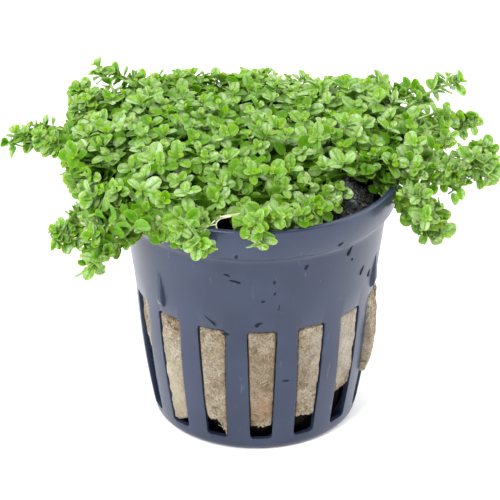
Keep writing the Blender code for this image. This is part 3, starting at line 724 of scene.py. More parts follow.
# The growing medium: a dark wet layer of fine peat and sand on the wool. It is mounded at the front right,
# where the cushion bares it, and a little at the front left. Crumbs lie loose on it.
MEDIUM_FOOT = 39.0
MEDIUM_TOP = 44.8
MEDIUM_RADIUS = 24.6
MEDIUM_SHOULDER = (23.9, 43.0)
MEDIUM_WAIST = 41.0
MEDIUM_HUB = 12.0
MEDIUM_GAP = 0.5
MEDIUM_EDGE = 24.0
MEDIUM_EDGE_SINK = 0.4
MEDIUM_STEPS = 120
MEDIUM_RINGS = 26
MEDIUM_LUMPS = ((0.8, 0.35), (0.5, 0.9), (0.3, 2.2))
MEDIUM_ROUGH = 0.9
# The layer rises outside its flat middle in three places, and the mound falls again towards the wall. Each
# has an azimuth where it is highest and a spread, both in radians, and a height.
MEDIUM_FLAT = 11.0
RISE_SLOPE = 8.0
MOUND_SLOPE = 6.0
MOUND_FALL = 4.5
BARE_AZIMUTH = math.radians(53)
BARE_SPREAD = 0.42
BARE_RISE = 3.4
MOUND_AZIMUTH = math.radians(64)
MOUND_SPREAD = 0.3
MOUND_RISE = 4.6
FRONT_AZIMUTH = -0.27
FRONT_SPREAD = 0.25
FRONT_RISE = 1.6
CRUMBS = 420
CRUMB_SIZES = (0.15, 0.5)
CRUMB_RADII = (15.0, 24.0)
# The share of the crumbs that lie in the bare place, and how far round it they spread in radians
CRUMBS_BARE = 0.75
CRUMBS_SPREAD = 0.35
SOIL_DARK = (0.010, 0.013, 0.013)
SOIL_BROWN = (0.030, 0.025, 0.025)


def rise(azimuth, centre, spread):
    return math.exp(-(((azimuth - centre) / spread) ** 2))


def medium_height(x, y):
    """The layer's rough upper surface: highest under the bare place."""
    spot = Vector((x, y, 0.0))
    radius = math.hypot(x, y)
    azimuth = math.atan2(x, -y)
    outer = clipped((radius - MEDIUM_FLAT) / RISE_SLOPE)
    slope = clipped((radius - MEDIUM_FLAT) / MOUND_SLOPE) * clipped((MEDIUM_EDGE - radius) / MOUND_FALL)
    bare = rise(azimuth, BARE_AZIMUTH, BARE_SPREAD) * outer
    mound = MOUND_RISE * rise(azimuth, MOUND_AZIMUTH, MOUND_SPREAD) * slope
    front = FRONT_RISE * rise(azimuth, FRONT_AZIMUTH, FRONT_SPREAD) * outer
    return MEDIUM_TOP + BARE_RISE * bare + mound + front + MEDIUM_ROUGH * lumpy(spot, MEDIUM_LUMPS)


def medium_layer():
    """A turned disc of rings, thrown up into a rough surface on its upper side."""
    top = [(radius, MEDIUM_TOP) for radius in np.linspace(MEDIUM_RADIUS, 0.0, MEDIUM_RINGS)]
    side = [(bore_radius(height) - MEDIUM_GAP, height) for height in (MEDIUM_FOOT, MEDIUM_WAIST)]
    foot = [(0.0, MEDIUM_FOOT), (MEDIUM_HUB, MEDIUM_FOOT)]
    bm = turned(foot + side + [MEDIUM_SHOULDER] + top, MEDIUM_STEPS)
    for vert in bm.verts:
        if vert.co.z > MEDIUM_TOP - 0.01:
            vert.co.z = medium_height(vert.co.x, vert.co.y)
            if vert.co.xy.length > MEDIUM_EDGE:
                vert.co.z -= MEDIUM_EDGE_SINK
    return bm


def wet_soil():
    """Near-black and wet: smooth films between rough grains, so small glints stand beside dull patches."""
    finish, tree, shader, place = new_finish("wet_soil", {})
    patterns = {
        "Base Color": (420.0, 4.0, ((0.4, SOIL_DARK), (0.7, SOIL_BROWN))),
        "Roughness": (300.0, 2.0, ((0.42, 0.06), (0.62, 0.4))),
        "Specular IOR Level": (240.0, 3.0, ((0.5, 0.12), (0.62, 1.0))),
    }
    for socket, (scale, detail, stops) in patterns.items():
        tree.links.new(ramp(tree, cloud(tree, place, scale, detail), stops), shader.inputs[socket])
    add_grain(tree, shader, cloud(tree, place, 1300.0, 4.0), 0.8, 0.0006)
    return finish


soil = wet_soil()
medium = made_piece("wet_medium_layer", medium_layer(), soil, 60)
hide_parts("growing_medium")


def crumb_pattern():
    bm = bmesh.new()
    bmesh.ops.create_icosphere(bm, subdivisions=1, radius=1.0)
    for vert in bm.verts:
        vert.co *= 0.85 + 0.5 * noise.noise(vert.co * 1.7)
    return as_mesh("crumb", bm)


def crumb_places():
    rng = random.Random(8)
    places = []
    for _ in range(CRUMBS):
        bare = rng.random() < CRUMBS_BARE
        azimuth = rng.gauss(BARE_AZIMUTH, CRUMBS_SPREAD) if bare else rng.uniform(-math.pi, math.pi)
        spot = polar(rng.uniform(*CRUMB_RADII), azimuth, 0.0)
        spot.z = medium_height(spot.x, spot.y)
        size = rng.uniform(*CRUMB_SIZES)
        spin = Matrix.Rotation(rng.uniform(0, math.tau), 4, Vector((rng.gauss(0, 1), rng.gauss(0, 1), 1.0)))
        shape = Matrix.Diagonal((size * rng.uniform(0.7, 1.4), size, size * 0.7, 1.0))
        places.append(Matrix.Translation(spot) @ spin @ shape)
    return places


crumbs = copies("medium_crumbs", crumb_pattern(), crumb_places(), soil)


# The roots: a few fine white roots and one pale runner, bared in the hole at the front of the cushion.
# Each is a smooth thread a fifth to half a millimetre thick, as (thickness, points) in mm.
ROOTS = (
    (0.26, ((-8.6, -24.6, 50.2), (-7.9, -25.0, 51.0), (-7.3, -25.0, 51.6))),
    (0.26, ((-6.9, -25.3, 49.8), (-7.1, -25.1, 51.0), (-6.3, -25.0, 51.9), (-4.6, -24.8, 52.3),
            (-2.9, -24.6, 52.8))),
    (0.22, ((-7.0, -25.2, 50.9), (-8.2, -25.2, 50.7), (-9.0, -24.9, 50.4))),
    (0.36, ((-6.4, -24.4, 52.0), (-4.6, -24.5, 52.4), (-2.0, -24.3, 52.7))),
    (0.26, ((-1.0, -26.2, 51.0), (-0.7, -27.2, 50.6), (-0.4, -27.7, 50.0))),
)
ROOT_STEPS = 6
ROOT_GREEN = (0.42, 0.46, 0.22)
ROOT_WHITE = (0.72, 0.72, 0.52)


def root_places():
    """Short rods along smooth paths through each root's points."""
    places = []
    for thick, points in ROOTS:
        knots = [Vector(point) for point in points]
        knots = [2 * knots[0] - knots[1]] + knots + [2 * knots[-1] - knots[-2]]
        path = []
        for before, start, end, after in zip(knots, knots[1:], knots[2:], knots[3:]):
            for step in range(ROOT_STEPS):
                share = step / ROOT_STEPS
                path.append(
                    0.5 * ((2 * start) + (end - before) * share
                           + (2 * before - 5 * start + 4 * end - after) * share ** 2
                           + (3 * start - before - 3 * end + after) * share ** 3)
                )
        path.append(knots[-2])
        places += [rod_place(here, there, thick / 2) for here, there in zip(path, path[1:])]
    return places


root_white = mottled("root_white", 600.0, ((0.35, ROOT_GREEN), (0.6, ROOT_WHITE)), {"Roughness": 0.4})
roots = copies("white_roots", rod_pattern(8), root_places(), root_white)


# The leafy cushion: hundreds of upright shoots grown together. Each has a pale stem and crossed pairs of
# round leaves, 2 to 3.5 mm long. They are lime yellow at the tip and mid green below, a little cupped, and
# waxy. Their sheen is painted on as pale patches and a pale rim highlight, and the shaded leaves deep in
# the cushion are painted a deeper green as shade.
LEAF_WIDE = 0.39
LEAF_CUP = 0.07
LEAF_CURL = 0.07
LEAF_KEEL = 0.05
LEAF_THICK = 0.04
LEAF_BORDER = 0.34
LEAF_SIDES = 12
LEAF_STALK = 0.1
LEAF_DEEP = (0.055, 0.190, 0.001)
LEAF_GREEN = (0.125, 0.300, 0.003)
LEAF_PALE = (0.175, 0.365, 0.018)
LEAF_LIME = (0.215, 0.430, 0.002)
LEAF_HEART = (0.095, 0.260, 0.001)
LEAF_PAINTED_SHEEN = (0.350, 0.475, 0.225)
LEAF_PAINTED_RIM = (0.430, 0.590, 0.210)
STEM_DARK = (0.12, 0.26, 0.03)
STEM_PALE = (0.34, 0.52, 0.12)
SHOOT_SPACING = 3.5
SHOOT_STEM = 0.2
UNDER_SPACING = 2.8
UNDER_DEPTH = 2.2
# Leaf pairs from the tip down: distance below the tip, leaf length, opening from the stem in degrees, age
SHOOT_PAIRS = (
    (0.0, 0.7, 26, 0.0),
    (0.2, 1.4, 50, 0.3),
    (0.7, 2.4, 66, 0.6),
    (1.5, 2.9, 76, 0.85),
    (2.8, 3.0, 84, 1.0),
)
UNDER_PAIRS = SHOOT_PAIRS[2:]
UNDER_SIZE = 1.05
# The under-layer shoots' low tint is painted shade: a deeper green, with little painted sheen or rim.
UNDER_SHADE_TINT = 0.15
UNDER_CLEAR = (2.2, 0.6)
SHOOT_SIZES = (0.75, 1.15)
HEM_SIZES = (0.7, 0.9)


def leaf_pattern():
    """An ovate blade of unit length from its stalk at the origin along +X, facing +Z, with a keel below."""
    bm = bmesh.new()
    bmesh.ops.create_circle(bm, cap_ends=True, radius=1.0, segments=LEAF_SIDES)
    bmesh.ops.rotate(bm, verts=bm.verts, matrix=Matrix.Rotation(math.pi / 2, 3, "Z"))
    rim = bm.edges[:]
    bmesh.ops.inset_region(bm, faces=bm.faces, thickness=LEAF_BORDER)
    middle = [face for face in bm.faces if len(face.verts) == LEAF_SIDES]
    bmesh.ops.poke(bm, faces=middle)
    under = bmesh.ops.contextual_create(bm, geom=rim)["faces"]
    heart = bmesh.ops.poke(bm, faces=under)["verts"][0]
    bmesh.ops.recalc_face_normals(bm, faces=bm.faces)
    bmesh.ops.triangulate(bm, faces=bm.faces)
    blade = bm.loops.layers.uv.new("blade")
    for face in bm.faces:
        for loop in face.loops:
            loop[blade].uv = (0.5 + loop.vert.co.y / 2, 0.5 + loop.vert.co.x / 2)
    for vert in bm.verts:
        along, across = vert.co.x, vert.co.y
        wide = LEAF_WIDE * (1.0 + 0.06 * along)
        keel = LEAF_KEEL * max(0.0, 1.0 - 2.5 * abs(across)) if vert is not heart else 0.0
        lift = LEAF_CUP * across ** 2 - LEAF_CURL * max(0.0, along) ** 2 - keel
        vert.co = Vector((0.5 + 0.5 * along, across * wide, lift))
    heart.co.z = -LEAF_KEEL - LEAF_THICK
    return as_mesh("leaf", bm)


def reckoned(tree, operation, *values):
    """A Math node's output."""
    return new_node(tree, "ShaderNodeMath", dict(enumerate(values)), operation=operation).outputs[0]


def leaf_green():
    """Green by age and by leaf, lime towards the stalk, with a midrib, painted sheen and sparkle, and a
    painted rim highlight.
    """
    settings = {
        "Roughness": 0.42,
        "Subsurface Weight": 0.35,
        "Subsurface Radius": (0.5, 1.0, 0.05),
        "Subsurface Scale": 0.0003,
    }
    finish, tree, shader, place = new_finish("leaf_green", settings)
    age = new_node(tree, "ShaderNodeAttribute", attribute_name="age").outputs["Fac"]
    tint = new_node(tree, "ShaderNodeAttribute", attribute_name="tint").outputs["Fac"]
    blade = new_node(tree, "ShaderNodeUVMap", uv_map="blade").outputs["UV"]
    sides = new_node(tree, "ShaderNodeSeparateXYZ", {"Vector": blade})
    across, along = sides.outputs["X"], sides.outputs["Y"]
    off = reckoned(tree, "ABSOLUTE", reckoned(tree, "SUBTRACT", across, 0.5))

    def times(first, second):
        return blended(tree, 1.0, first, second, "MULTIPLY")

    # The tint runs from the deep green to the pale; on the under-layer shoots the deep green is painted
    # shade.
    own = ramp(tree, tint, ((0.0, LEAF_DEEP), (0.5, LEAF_GREEN), (1.0, LEAF_PALE)))
    young = ramp(tree, age, ((0.0, 1.0), (0.3, 0.6), (0.6, 0.1), (1.0, 0.0)))
    color = blended(tree, young, own, LEAF_LIME)
    fine = reckoned(tree, "MULTIPLY", cloud(tree, place, 1900.0), 0.55)
    both = reckoned(tree, "ADD", cloud(tree, place, 380.0), fine)
    # Painted sheen: pale patches on both halves of each blade stand in for the lamps' reflection, faint on
    # low-tinted leaves; the same halves get real gloss.
    sheen_halves = ramp(tree, off, ((0.02, 0.3), (0.16, 1.0), (0.3, 1.0), (0.44, 0.4)))
    sheen_halves = times(sheen_halves, ramp(tree, tint, ((0.1, 0.15), (0.45, 1.0))))
    color = blended(tree, times(ramp(tree, both, ((0.66, 0.0), (0.90, 0.75))), sheen_halves), color, LEAF_PAINTED_SHEEN)
    gloss = times(ramp(tree, both, ((0.62, 0.3), (0.85, 1.0))), sheen_halves)
    tree.links.new(gloss, shader.inputs["Specular IOR Level"])
    color = blended(tree, ramp(tree, along, ((0.08, 0.85), (0.42, 0.0))), color, LEAF_HEART)
    slant = reckoned(tree, "ADD", along, reckoned(tree, "MULTIPLY", off, -1.3))
    wave = reckoned(tree, "SINE", reckoned(tree, "MULTIPLY", slant, 26.0))
    veins = ramp(tree, wave, ((0.3, 0.0), (1.0, 0.5)))
    midrib = ramp(tree, off, ((0.0, 0.75), (0.06, 0.0)))
    color = blended(tree, blended(tree, 1.0, veins, midrib, "LIGHTEN"), color, LEAF_HEART)
    middle = {0: blade, 1: (0.5, 0.5, 0.0)}
    outward = new_node(tree, "ShaderNodeVectorMath", middle, operation="DISTANCE").outputs["Value"]
    # Painted highlight: a pale line along each blade's rim, fainter on low-tinted leaves.
    rim = times(ramp(tree, outward, ((0.44, 0.0), (0.49, 0.7))), ramp(tree, tint, ((0.1, 0.35), (0.6, 1.0))))
    tree.links.new(blended(tree, rim, color, LEAF_PAINTED_RIM), shader.inputs["Base Color"])
    add_grain(tree, shader, cloud(tree, place, 1800.0), 0.35, 0.0002)
    return finish


# Every blade turns its face towards the light on its own stalk, and strays a little: its roll and its swing
# round the stem in radians, its opening in degrees, and its tint
SUN = Vector((-0.1, -0.55, 0.8))
ROLL_STRAY = 0.3
SWING_STRAY = 0.25
OPENING_STRAY = 14.0
TINT_STRAY = 0.2


class Growth:
    """Gathers the leaves and stems of many shoots, so that each becomes one joined mesh."""

    def __init__(self, seed, sunward=0.3):
        self.rng = random.Random(seed)
        self.sunward = sunward
        self.leaves = []
        self.age = []
        self.tint = []
        self.stems = []

    def leaf(self, foot, heading, swing, opening, length, age, tint):
        """One leaf at a stem's node: swing turns it round the stem, opening leans it away from the tip."""
        side = heading.orthogonal().normalized()
        out = Matrix.Rotation(swing, 3, heading) @ side
        aim = (out * math.sin(opening) + heading * math.cos(opening)).normalized()
        face = (heading - aim * heading.dot(aim)) if opening > 0.2 else -out
        face = face.normalized() + SUN * self.sunward
        face = Matrix.Rotation(self.rng.gauss(0.0, ROLL_STRAY), 3, aim) @ face
        across = face.cross(aim).normalized()
        face = aim.cross(across).normalized()
        axes = Matrix((aim, across, face)).transposed() * length
        self.leaves.append(Matrix.Translation(foot + aim * LEAF_STALK * length) @ axes.to_4x4())
        self.age.append(age)
        self.tint.append(tint)

    def pair(self, foot, heading, swing, opening, length, age, tint):
        """Two leaves across from each other at a stem's node, each with its own stray."""
        rng = self.rng
        for half_turn in (0.0, math.pi):
            self.leaf(
                foot,
                heading,
                swing + half_turn + rng.gauss(0.0, SWING_STRAY),
                math.radians(opening + rng.gauss(0.0, OPENING_STRAY)),
                length * rng.uniform(0.8, 1.2),
                age,
                clipped(tint + rng.gauss(0.0, TINT_STRAY)),
            )

    def shoot(self, tip, heading, size, pairs=SHOOT_PAIRS, tint=None):
        """An upright shoot seen from its tip down: crossed pairs on a short stem."""
        rng = self.rng
        swing = rng.uniform(0.0, math.tau)
        tint = rng.uniform(0.15, 0.95) if tint is None else tint
        for index, (depth, length, opening, age) in enumerate(pairs):
            foot = tip - heading * depth * size
            self.pair(foot, heading, swing + index * math.pi / 2, opening, length * size, age, tint)
        self.stems.append(rod_place(tip - heading * (pairs[-1][0] + 1.2) * size, tip, SHOOT_STEM * size))

    def show(self, name, *nodes):
        """Makes the leaf mesh and the stem mesh; the leaves stand for the CAD nodes named."""
        blades = copies(name + "_leaves", LEAF, self.leaves, GREEN, {"age": self.age, "tint": self.tint}, 75)
        if nodes:
            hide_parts(*nodes)
        stems = copies(name + "_stems", ROD, self.stems, STEM)


SPOT_TRIES = 9000
SPOT_SURROUNDINGS = 6.0


def surface_spots(node, spacing, seed):
    """Even random spots on a CAD solid, each with its outward direction averaged over its surroundings."""
    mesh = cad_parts[node].data
    mesh.calc_loop_triangles()
    points = np.array([vert.co for vert in mesh.vertices]) / MM
    corners = np.array([tuple(triangle.vertices) for triangle in mesh.loop_triangles])
    first, second, third = (points[corners[:, index]] for index in range(3))
    cross = np.cross(second - first, third - first)
    area = np.linalg.norm(cross, axis=1) / 2
    chance = np.random.RandomState(seed)
    picked = chance.choice(len(area), SPOT_TRIES, p=area / area.sum())
    u, v = chance.rand(SPOT_TRIES, 1), chance.rand(SPOT_TRIES, 1)
    u, v = np.where(u + v > 1, 1 - u, u), np.where(u + v > 1, 1 - v, v)
    spots = first[picked] + u * (second - first)[picked] + v * (third - first)[picked]
    outward = cross[picked] / np.linalg.norm(cross[picked], axis=1)[:, None]
    kept = []
    for index, spot in enumerate(spots):
        if not kept or np.min(np.linalg.norm(spots[kept] - spot, axis=1)) > spacing:
            kept.append(index)
    found = []
    for index in kept:
        near = np.linalg.norm(spots - spots[index], axis=1) < SPOT_SURROUNDINGS
        mean = outward[near & (outward @ outward[index] > 0.3)].mean(axis=0)
        found.append((Vector(spots[index]), Vector(mean / (np.linalg.norm(mean) + 1e-9))))
    return found


# Where the cushion is open: azimuths in degrees, heights and radii. The soil shows at the front right, the
# roots in a hole in front, and the pot's rim at the front left.
OPEN_RIGHT = (40.0, 72.0)
OPEN_RIGHT_RADIUS = 16.0
OPEN_RIGHT_TOP = 55.2
OPEN_HOLE = Vector((-7.0, -24.6))
OPEN_HOLE_RADIUS = 2.6
OPEN_LEFT = (-58.0, -36.0)
OPEN_LEFT_TOP = 48.8


def is_open(spot):
    azimuth = math.degrees(azimuth_of(spot))
    right = OPEN_RIGHT[0] < azimuth < OPEN_RIGHT[1] and spot.z < OPEN_RIGHT_TOP
    right = right and spot.xy.length > OPEN_RIGHT_RADIUS
    hole = (spot.xy - OPEN_HOLE).length < OPEN_HOLE_RADIUS
    left = OPEN_LEFT[0] < azimuth < OPEN_LEFT[1] and spot.z < OPEN_LEFT_TOP
    return right or hole or left


def in_pot(spot, beside=0.3, above=0.4):
    """Whether a spot is within the pot's rim, or so little beside and above it."""
    return spot.xy.length < RIM_RADIUS + beside and spot.z < POT_HEIGHT + above


# Shoots that fill out the cushion's hems, as (x, y, z) of their tips
HEM_SHOOTS = (
    # along the back
    (-28.2, 27.5, 57.8), (-26.9, 28.0, 57.4), (-24.6, 29.0, 56.5), (-22.1, 30.0, 55.7), (-19.5, 29.0, 56.5),
    (-17.6, 30.0, 55.9), (-15.2, 28.0, 56.9), (-12.4, 29.0, 57.2), (-10.3, 30.0, 56.7), (-8.1, 29.0, 56.7),
    (-5.7, 29.0, 56.7), (-3.4, 30.0, 56.1), (-1.0, 29.0, 56.5), (1.4, 30.0, 56.1), (3.9, 29.0, 56.5),
    (6.5, 30.0, 55.9), (8.9, 29.0, 56.1), (14.0, 29.0, 55.7), (16.7, 29.0, 55.2), (19.1, 28.0, 55.7),
    (28.9, 24.0, 55.7), (30.5, 25.0, 55.9), (32.0, 24.0, 56.1), (30.6, 22.0, 55.5), (32.9, 22.0, 55.7),
    (27.3, 24.0, 55.3),
    # over the rim at the front left
    (-24.5, -17.0, 48.3), (-22.9, -18.5, 49.6), (-21.4, -20.0, 49.4), (-19.9, -20.5, 49.4),
    (-20.5, -21.5, 48.8), (-18.8, -22.5, 49.2), (-17.3, -23.0, 49.9), (-17.6, -24.0, 48.7),
    (-15.8, -25.0, 49.2), (-14.1, -26.0, 49.3), (-12.7, -26.5, 49.0), (-10.5, -27.0, 48.6),
    (-15.1, -24.5, 49.8), (-13.2, -25.5, 49.9), (-11.4, -26.0, 49.8),
    # the lobe that hangs at the left
    (-31.8, -11.0, 45.5), (-30.6, -11.0, 47.2), (-29.1, -12.0, 46.5), (-27.6, -14.0, 45.8),
    (-33.4, -11.0, 42.2), (-34.2, -11.0, 40.6), (-35.7, -11.0, 40.6), (-37.2, -10.5, 40.3),
    (-25.3, -16.5, 44.2), (-23.8, -17.0, 43.6), (-26.8, -16.0, 42.3), (-28.7, -14.0, 43.7),
    (-31.0, -12.5, 44.2),
    # the lobe that hangs at the right
    (24.6, -8.0, 50.0), (25.4, -8.5, 49.9), (25.6, -8.0, 50.2), (26.4, -9.0, 48.9), (27.9, -9.0, 48.3),
    (28.2, -10.0, 47.4), (29.3, -11.0, 46.6), (30.2, -10.0, 47.1), (29.2, -7.0, 49.0), (30.9, -9.0, 48.7),
    (31.0, -12.0, 45.0), (32.2, -12.0, 43.4), (33.2, -13.0, 42.8), (33.9, -13.0, 42.2), (32.8, -12.0, 45.0),
    (33.9, -11.0, 46.6),
    # beside the bare soil
    (12.4, -14.0, 52.4), (14.2, -13.0, 52.3), (15.4, -12.5, 51.9), (13.2, -16.0, 51.7), (14.4, -16.6, 51.0),
    (11.2, -16.0, 51.3), (15.0, -14.5, 50.9),
    # between the sprigs at both sides
    (33.9, 0.0, 53.9), (33.5, -1.0, 52.3), (33.2, -2.0, 50.7), (34.8, 10.0, 57.3), (36.4, 11.0, 57.2),
    (37.9, -4.0, 51.4), (39.8, -4.0, 51.0), (41.7, -4.0, 50.6), (43.6, -4.0, 50.4), (44.1, 1.0, 54.3),
    (43.5, 0.0, 53.1), (37.0, 3.6, 54.8), (-44.0, 10.0, 54.0), (-42.6, 10.0, 54.6), (-40.7, 10.0, 54.6),
    # over the rim beside the loose roots, then under the sprigs at the right
    (-1.5, -27.5, 51.8), (35.0, -7.0, 50.9), (37.0, -6.5, 50.3), (38.6, -6.0, 49.6),
)
CUSHION_HEART = Vector((0.0, 6.0, 45.0))
# How far a hem shoot's own stem reaches back towards the cushion's heart
HEM_STEM = 4.0

# The camera's centre line is a millimetre off the pot's axis, and the cushion was set by it
CUSHION_SHIFT = Vector((-1.0, 0.0, 0.0))
# The fringe that leans out over the front of the rim, in degrees of azimuth, and its gap over the hole
FRINGE = (-36, 36)
FRINGE_GAP = (-23, -9)
FRINGE_STEP = 2.5
FRINGE_RADII = (22.8, 25.6)
FRINGE_HEIGHTS = (50.9, 53.0)
FRINGE_SIZES = (0.8, 1.05)
# The cushion's underside, where its outward direction falls below this, grows no shoots
OVERHANG = -0.35


def mat_shoots():
    """Shoots over the cushion's skin, shaded ones below, then the fringe and the hems, in four quarters."""
    growths = [Growth(100 + index) for index in range(4)]

    def side_of(spot):
        return growths[int((azimuth_of(spot) + math.pi) / math.tau * 4) % 4]

    for spot, outward in surface_spots("leaf_mat", SHOOT_SPACING, 4):
        inside = in_pot(spot)
        spot = spot + CUSHION_SHIFT
        if outward.z < OVERHANG or inside or is_open(spot):
            continue
        growth = side_of(spot)
        rng = growth.rng
        upward = Vector((0.0, 0.0, 0.35 if outward.z > 0.5 else 0.2))
        forward = 0.15 + 0.55 * clipped((16.0 - spot.y) / 34.0)
        stray = Vector((rng.gauss(0, 0.34), rng.gauss(0, 0.3) - forward, rng.gauss(0, 0.1)))
        heading = (outward + upward + stray).normalized()
        growth.shoot(spot + heading * rng.uniform(-0.9, 0.6), heading, rng.uniform(*SHOOT_SIZES))
    for spot, outward in surface_spots("leaf_mat", UNDER_SPACING, 9):
        spot = spot + CUSHION_SHIFT
        foot = spot - outward * UNDER_DEPTH
        if outward.z < OVERHANG or in_pot(foot, *UNDER_CLEAR) or is_open(spot):
            continue
        growth = side_of(spot)
        stray = Vector((growth.rng.gauss(0, 0.3), growth.rng.gauss(0, 0.3), 0.4))
        growth.shoot(foot, (outward + stray).normalized(), UNDER_SIZE, UNDER_PAIRS, UNDER_SHADE_TINT)
    for step in range(int((FRINGE[1] - FRINGE[0]) / FRINGE_STEP)):
        azimuth = FRINGE[0] + FRINGE_STEP * step
        if FRINGE_GAP[0] < azimuth < FRINGE_GAP[1]:
            continue
        growth = growths[1] if azimuth < 0 else growths[2]
        rng = growth.rng
        radius, stray, height = rng.uniform(*FRINGE_RADII), rng.uniform(-1, 1), rng.uniform(*FRINGE_HEIGHTS)
        spot = polar(radius, math.radians(azimuth + stray), height)
        out, stray, up = rng.uniform(0.5, 1.0), rng.uniform(-25, 25), rng.uniform(0.4, 0.8)
        outward = polar(out, math.radians(azimuth + stray), up)
        growth.shoot(spot, outward.normalized(), rng.uniform(*FRINGE_SIZES))
    for spot in HEM_SHOOTS:
        spot = Vector(spot)
        growth = side_of(spot)
        rng = growth.rng
        stray = Vector((rng.gauss(0, 0.3), rng.gauss(0, 0.3) - 0.45, rng.gauss(0, 0.3) + 0.5))
        lean = spot - CUSHION_HEART
        lean.y *= 0.4 if lean.y > 0 else 1.0
        growth.shoot(spot, (lean.normalized() + stray).normalized(), rng.uniform(*HEM_SIZES))
        growth.stems.append(rod_place(spot - lean.normalized() * HEM_STEM, spot, SHOOT_STEM))
    return growths


LEAF = leaf_pattern()
ROD = rod_pattern(5)
GREEN = leaf_green()
STEM = mottled("stem_green", 400.0, ((0.35, STEM_DARK), (0.65, STEM_PALE)), {"Roughness": 0.45})
for growth, side in zip(mat_shoots(), ("back_left", "front_left", "front_right", "back_right")):
    growth.show("mat_" + side, *(["leaf_mat"] if side == "front_left" else []))


# The thatch: the tangle of older stems and shaded leaves inside the cushion, drawn as one sheet whose dark
# green is painted shade between the shoots. It is the cushion's own form drawn in by the depth of a shoot.
THATCH_DEPTH = 3.0
THATCH_SMOOTHING = 14
THATCH_TOP = 55.0
THATCH_NECK = 24.0
THATCH_SHADE_DARK = (0.018, 0.050, 0.002)
THATCH_SHADE_GREEN = (0.062, 0.160, 0.005)


def thatch():
    """The form of the solid cushion, smoothed, drawn in, and kept clear of the pot's lip."""
    bm = bmesh.new()
    bm.from_mesh(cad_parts["leaf_mat"].data)
    bmesh.ops.scale(bm, vec=(1 / MM, 1 / MM, 1 / MM), verts=bm.verts)
    bmesh.ops.remove_doubles(bm, verts=bm.verts, dist=0.01)
    for _ in range(THATCH_SMOOTHING):
        bmesh.ops.smooth_vert(
            bm, verts=bm.verts, factor=0.5, use_axis_x=True, use_axis_y=True, use_axis_z=True
        )
    bm.normal_update()
    for vert in bm.verts:
        vert.co += CUSHION_SHIFT - vert.normal * THATCH_DEPTH
        vert.co.z = min(vert.co.z, THATCH_TOP)
        if in_pot(vert.co):
            vert.co.xy *= min(1.0, THATCH_NECK / max(vert.co.xy.length, 0.01))
    return bm


# The thatch's dark greens are painted shade for the depths between the shoots.
thatch_shaded_green = mottled(
    "thatch_shaded_green",
    500.0,
    ((0.35, THATCH_SHADE_DARK), (0.7, THATCH_SHADE_GREEN)),
    {"Roughness": 0.8, "Specular IOR Level": 0.05},
    4.0,
)
thatch_piece = made_piece("stem_thatch", thatch(), thatch_shaded_green, 180)


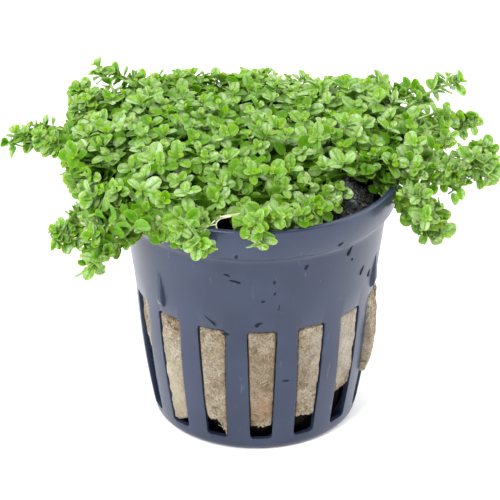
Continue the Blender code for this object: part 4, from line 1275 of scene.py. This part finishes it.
# The sprigs: stems that have grown out past the cushion, trailing over the pot's rim or standing up behind.
# Each is a green stem with crossed leaf pairs and short side shoots. Rows are root, bend, tip and number of
# side shoots.
SPRIG_PAIR_SPACING = 1.9
SPRIG_STEM = 0.3
SPRIG_STEPS = 24
SPRIG_LEAVES = (2.2, 2.8)
SPRIG_OPENING = 72
SPRIG_AGE = 0.7
SPRIG_SUNWARD = 0.9
SIDE_SHOOT_LENGTHS = (1.2, 2.8)
SIDE_SHOOT_SIZES = (0.75, 0.95)
TIP_PAIRS = SHOOT_PAIRS[:4]
SPRIGS = {
    "back_left_tall": ((-26.0, 23.0, 54.6), (-28.0, 26.0, 57.2), (-30.2, 28.0, 59.6), 1),
    "left_back_upper": ((-27.0, 19.0, 54.4), (-30.6, 21.5, 55.2), (-33.8, 23.0, 56.0), 3),
    "left_back_lower": ((-29.0, 13.5, 53.5), (-32.0, 17.0, 54.4), (-34.3, 18.0, 54.8), 3),
    "far_left": ((-31.0, 3.5, 51.5), (-38.0, 5.5, 53.0), (-46.0, 9.0, 51.4), 7),
    "far_left_upper": ((-31.5, 9.5, 51.4), (-37.0, 10.0, 52.0), (-42.4, 10.5, 52.0), 3),
    "left_drooping": ((-30.0, -0.5, 51.0), (-32.5, 0.0, 52.0), (-34.2, 0.0, 51.2), 3),
    "left_small": ((-29.5, -4.5, 50.0), (-31.6, -4.5, 50.2), (-33.0, -5.0, 49.0), 3),
    "left_low": ((-29.0, -8.5, 47.5), (-33.2, -9.5, 44.8), (-35.7, -10.5, 40.0), 5),
    "left_front_hanging": ((-26.0, -14.0, 46.5), (-28.6, -15.8, 42.6), (-30.0, -16.0, 37.0), 5),
    "left_front_inner": ((-25.5, -16.5, 47.0), (-27.4, -18.5, 43.4), (-27.8, -18.5, 40.4), 3),
    "front_left": ((-13.5, -22.5, 51.6), (-10.8, -28.2, 52.0), (-7.6, -29.6, 48.0), 3),
    "front": ((1.4, -21.0, 51.8), (1.8, -27.8, 53.0), (1.9, -29.4, 49.2), 1),
    "back_right_tall": ((30.0, 18.0, 54.4), (35.5, 22.5, 56.2), (41.2, 25.0, 57.2), 3),
    "right_back": ((31.0, 8.0, 53.0), (38.0, 10.0, 55.2), (43.2, 11.5, 54.4), 5),
    "far_right_upper": ((32.0, 0.0, 51.5), (40.0, 0.5, 51.6), (44.8, 2.0, 53.2), 7),
    "far_right_lower": ((31.5, -3.0, 51.4), (40.0, -3.5, 52.4), (45.4, -4.0, 51.0), 9),
    "right_small": ((29.0, -7.0, 50.5), (31.8, -7.0, 52.2), (34.0, -7.0, 51.6), 5),
    "right_hanging": ((27.5, -10.5, 50.5), (32.6, -12.0, 49.0), (35.8, -13.0, 42.8), 5),
    "right_hanging_inner": ((27.0, -11.5, 50.5), (31.2, -13.0, 49.4), (34.0, -14.0, 46.2), 5),
    "back_centre": ((3.1, 26.0, 53.5), (3.2, 29.8, 54.8), (3.3, 32.0, 56.2), 1),
    "back_right": ((20.0, 24.0, 53.5), (24.0, 29.0, 53.8), (26.6, 32.0, 54.2), 3),
    "back_left": ((-12.5, 25.0, 54.0), (-13.0, 29.5, 54.8), (-13.4, 32.5, 55.4), 3),
    "behind_1": ((-22.0, 24.0, 50.0), (-25.0, 31.5, 50.0), (-26.5, 35.0, 45.5), 5),
    "behind_2": ((-8.0, 27.5, 50.0), (-8.5, 34.5, 50.0), (-9.0, 37.5, 46.0), 5),
    "behind_3": ((7.0, 27.5, 50.5), (7.8, 34.5, 50.0), (8.0, 37.0, 45.0), 5),
    "behind_4": ((19.0, 26.0, 50.0), (22.5, 32.5, 50.0), (25.0, 35.0, 46.0), 5),
    "behind_5": ((29.0, 16.0, 49.5), (35.0, 19.0, 50.0), (38.4, 20.5, 45.6), 5),
    "behind_6": ((-29.5, 15.0, 49.5), (-36.0, 17.0, 49.6), (-38.5, 18.5, 45.0), 5),
}


def bend(root, middle, tip, share):
    """A point on the smooth curve that leaves the root, passes the middle and ends at the tip."""
    root, middle, tip = Vector(root), Vector(middle), Vector(tip)
    handle = 2 * middle - (root + tip) / 2
    return (1 - share) ** 2 * root + 2 * share * (1 - share) * handle + share ** 2 * tip


def grow_sprig(growth, points, size):
    """A stem through the points with a crossed leaf pair at even steps, and a rosette at its tip."""
    rng = growth.rng
    tint = rng.uniform(0.35, 0.9)
    swing = rng.uniform(0.0, math.tau)
    run = 0.0
    grown = 0
    for here, after in zip(points, points[1:]):
        growth.stems.append(rod_place(here, after, SPRIG_STEM * size))
        run += (after - here).length
        if run > SPRIG_PAIR_SPACING * size * (grown + 0.6):
            heading = (after - here).normalized()
            grown += 1
            length = rng.uniform(*SPRIG_LEAVES) * size
            growth.pair(after, heading, swing + grown * math.pi / 2, SPRIG_OPENING, length, SPRIG_AGE, tint)
    heading = ((points[-1] - points[-3]).normalized() + SUN * 0.8).normalized()
    growth.shoot(points[-1], heading, size, TIP_PAIRS, tint)


def sprig(growth, root, middle, tip, side_shoots):
    """A whole sprig: its stem, then side shoots that leave it all round and turn up."""
    rng = growth.rng
    points = [bend(root, middle, tip, step / SPRIG_STEPS) + CUSHION_SHIFT for step in range(SPRIG_STEPS + 1)]
    grow_sprig(growth, points, 1.0)
    for index in range(side_shoots):
        place = int(SPRIG_STEPS * (0.2 + 0.7 * (index + 0.5) / side_shoots))
        heading = (points[place + 1] - points[place]).normalized()
        out = Matrix.Rotation(rng.uniform(0, math.tau), 3, heading) @ heading.orthogonal().normalized()
        aim = (heading * 0.8 + out + Vector((0, 0, 0.5))).normalized()
        length = rng.uniform(*SIDE_SHOOT_LENGTHS)
        side = [points[place] + aim * length * step / 4 for step in range(5)]
        grow_sprig(growth, side, rng.uniform(*SIDE_SHOOT_SIZES))


for index, (name, row) in enumerate(SPRIGS.items()):
    growth = Growth(300 + index, SPRIG_SUNWARD)
    sprig(growth, *row)
    growth.show(name, "sprig_" + name)
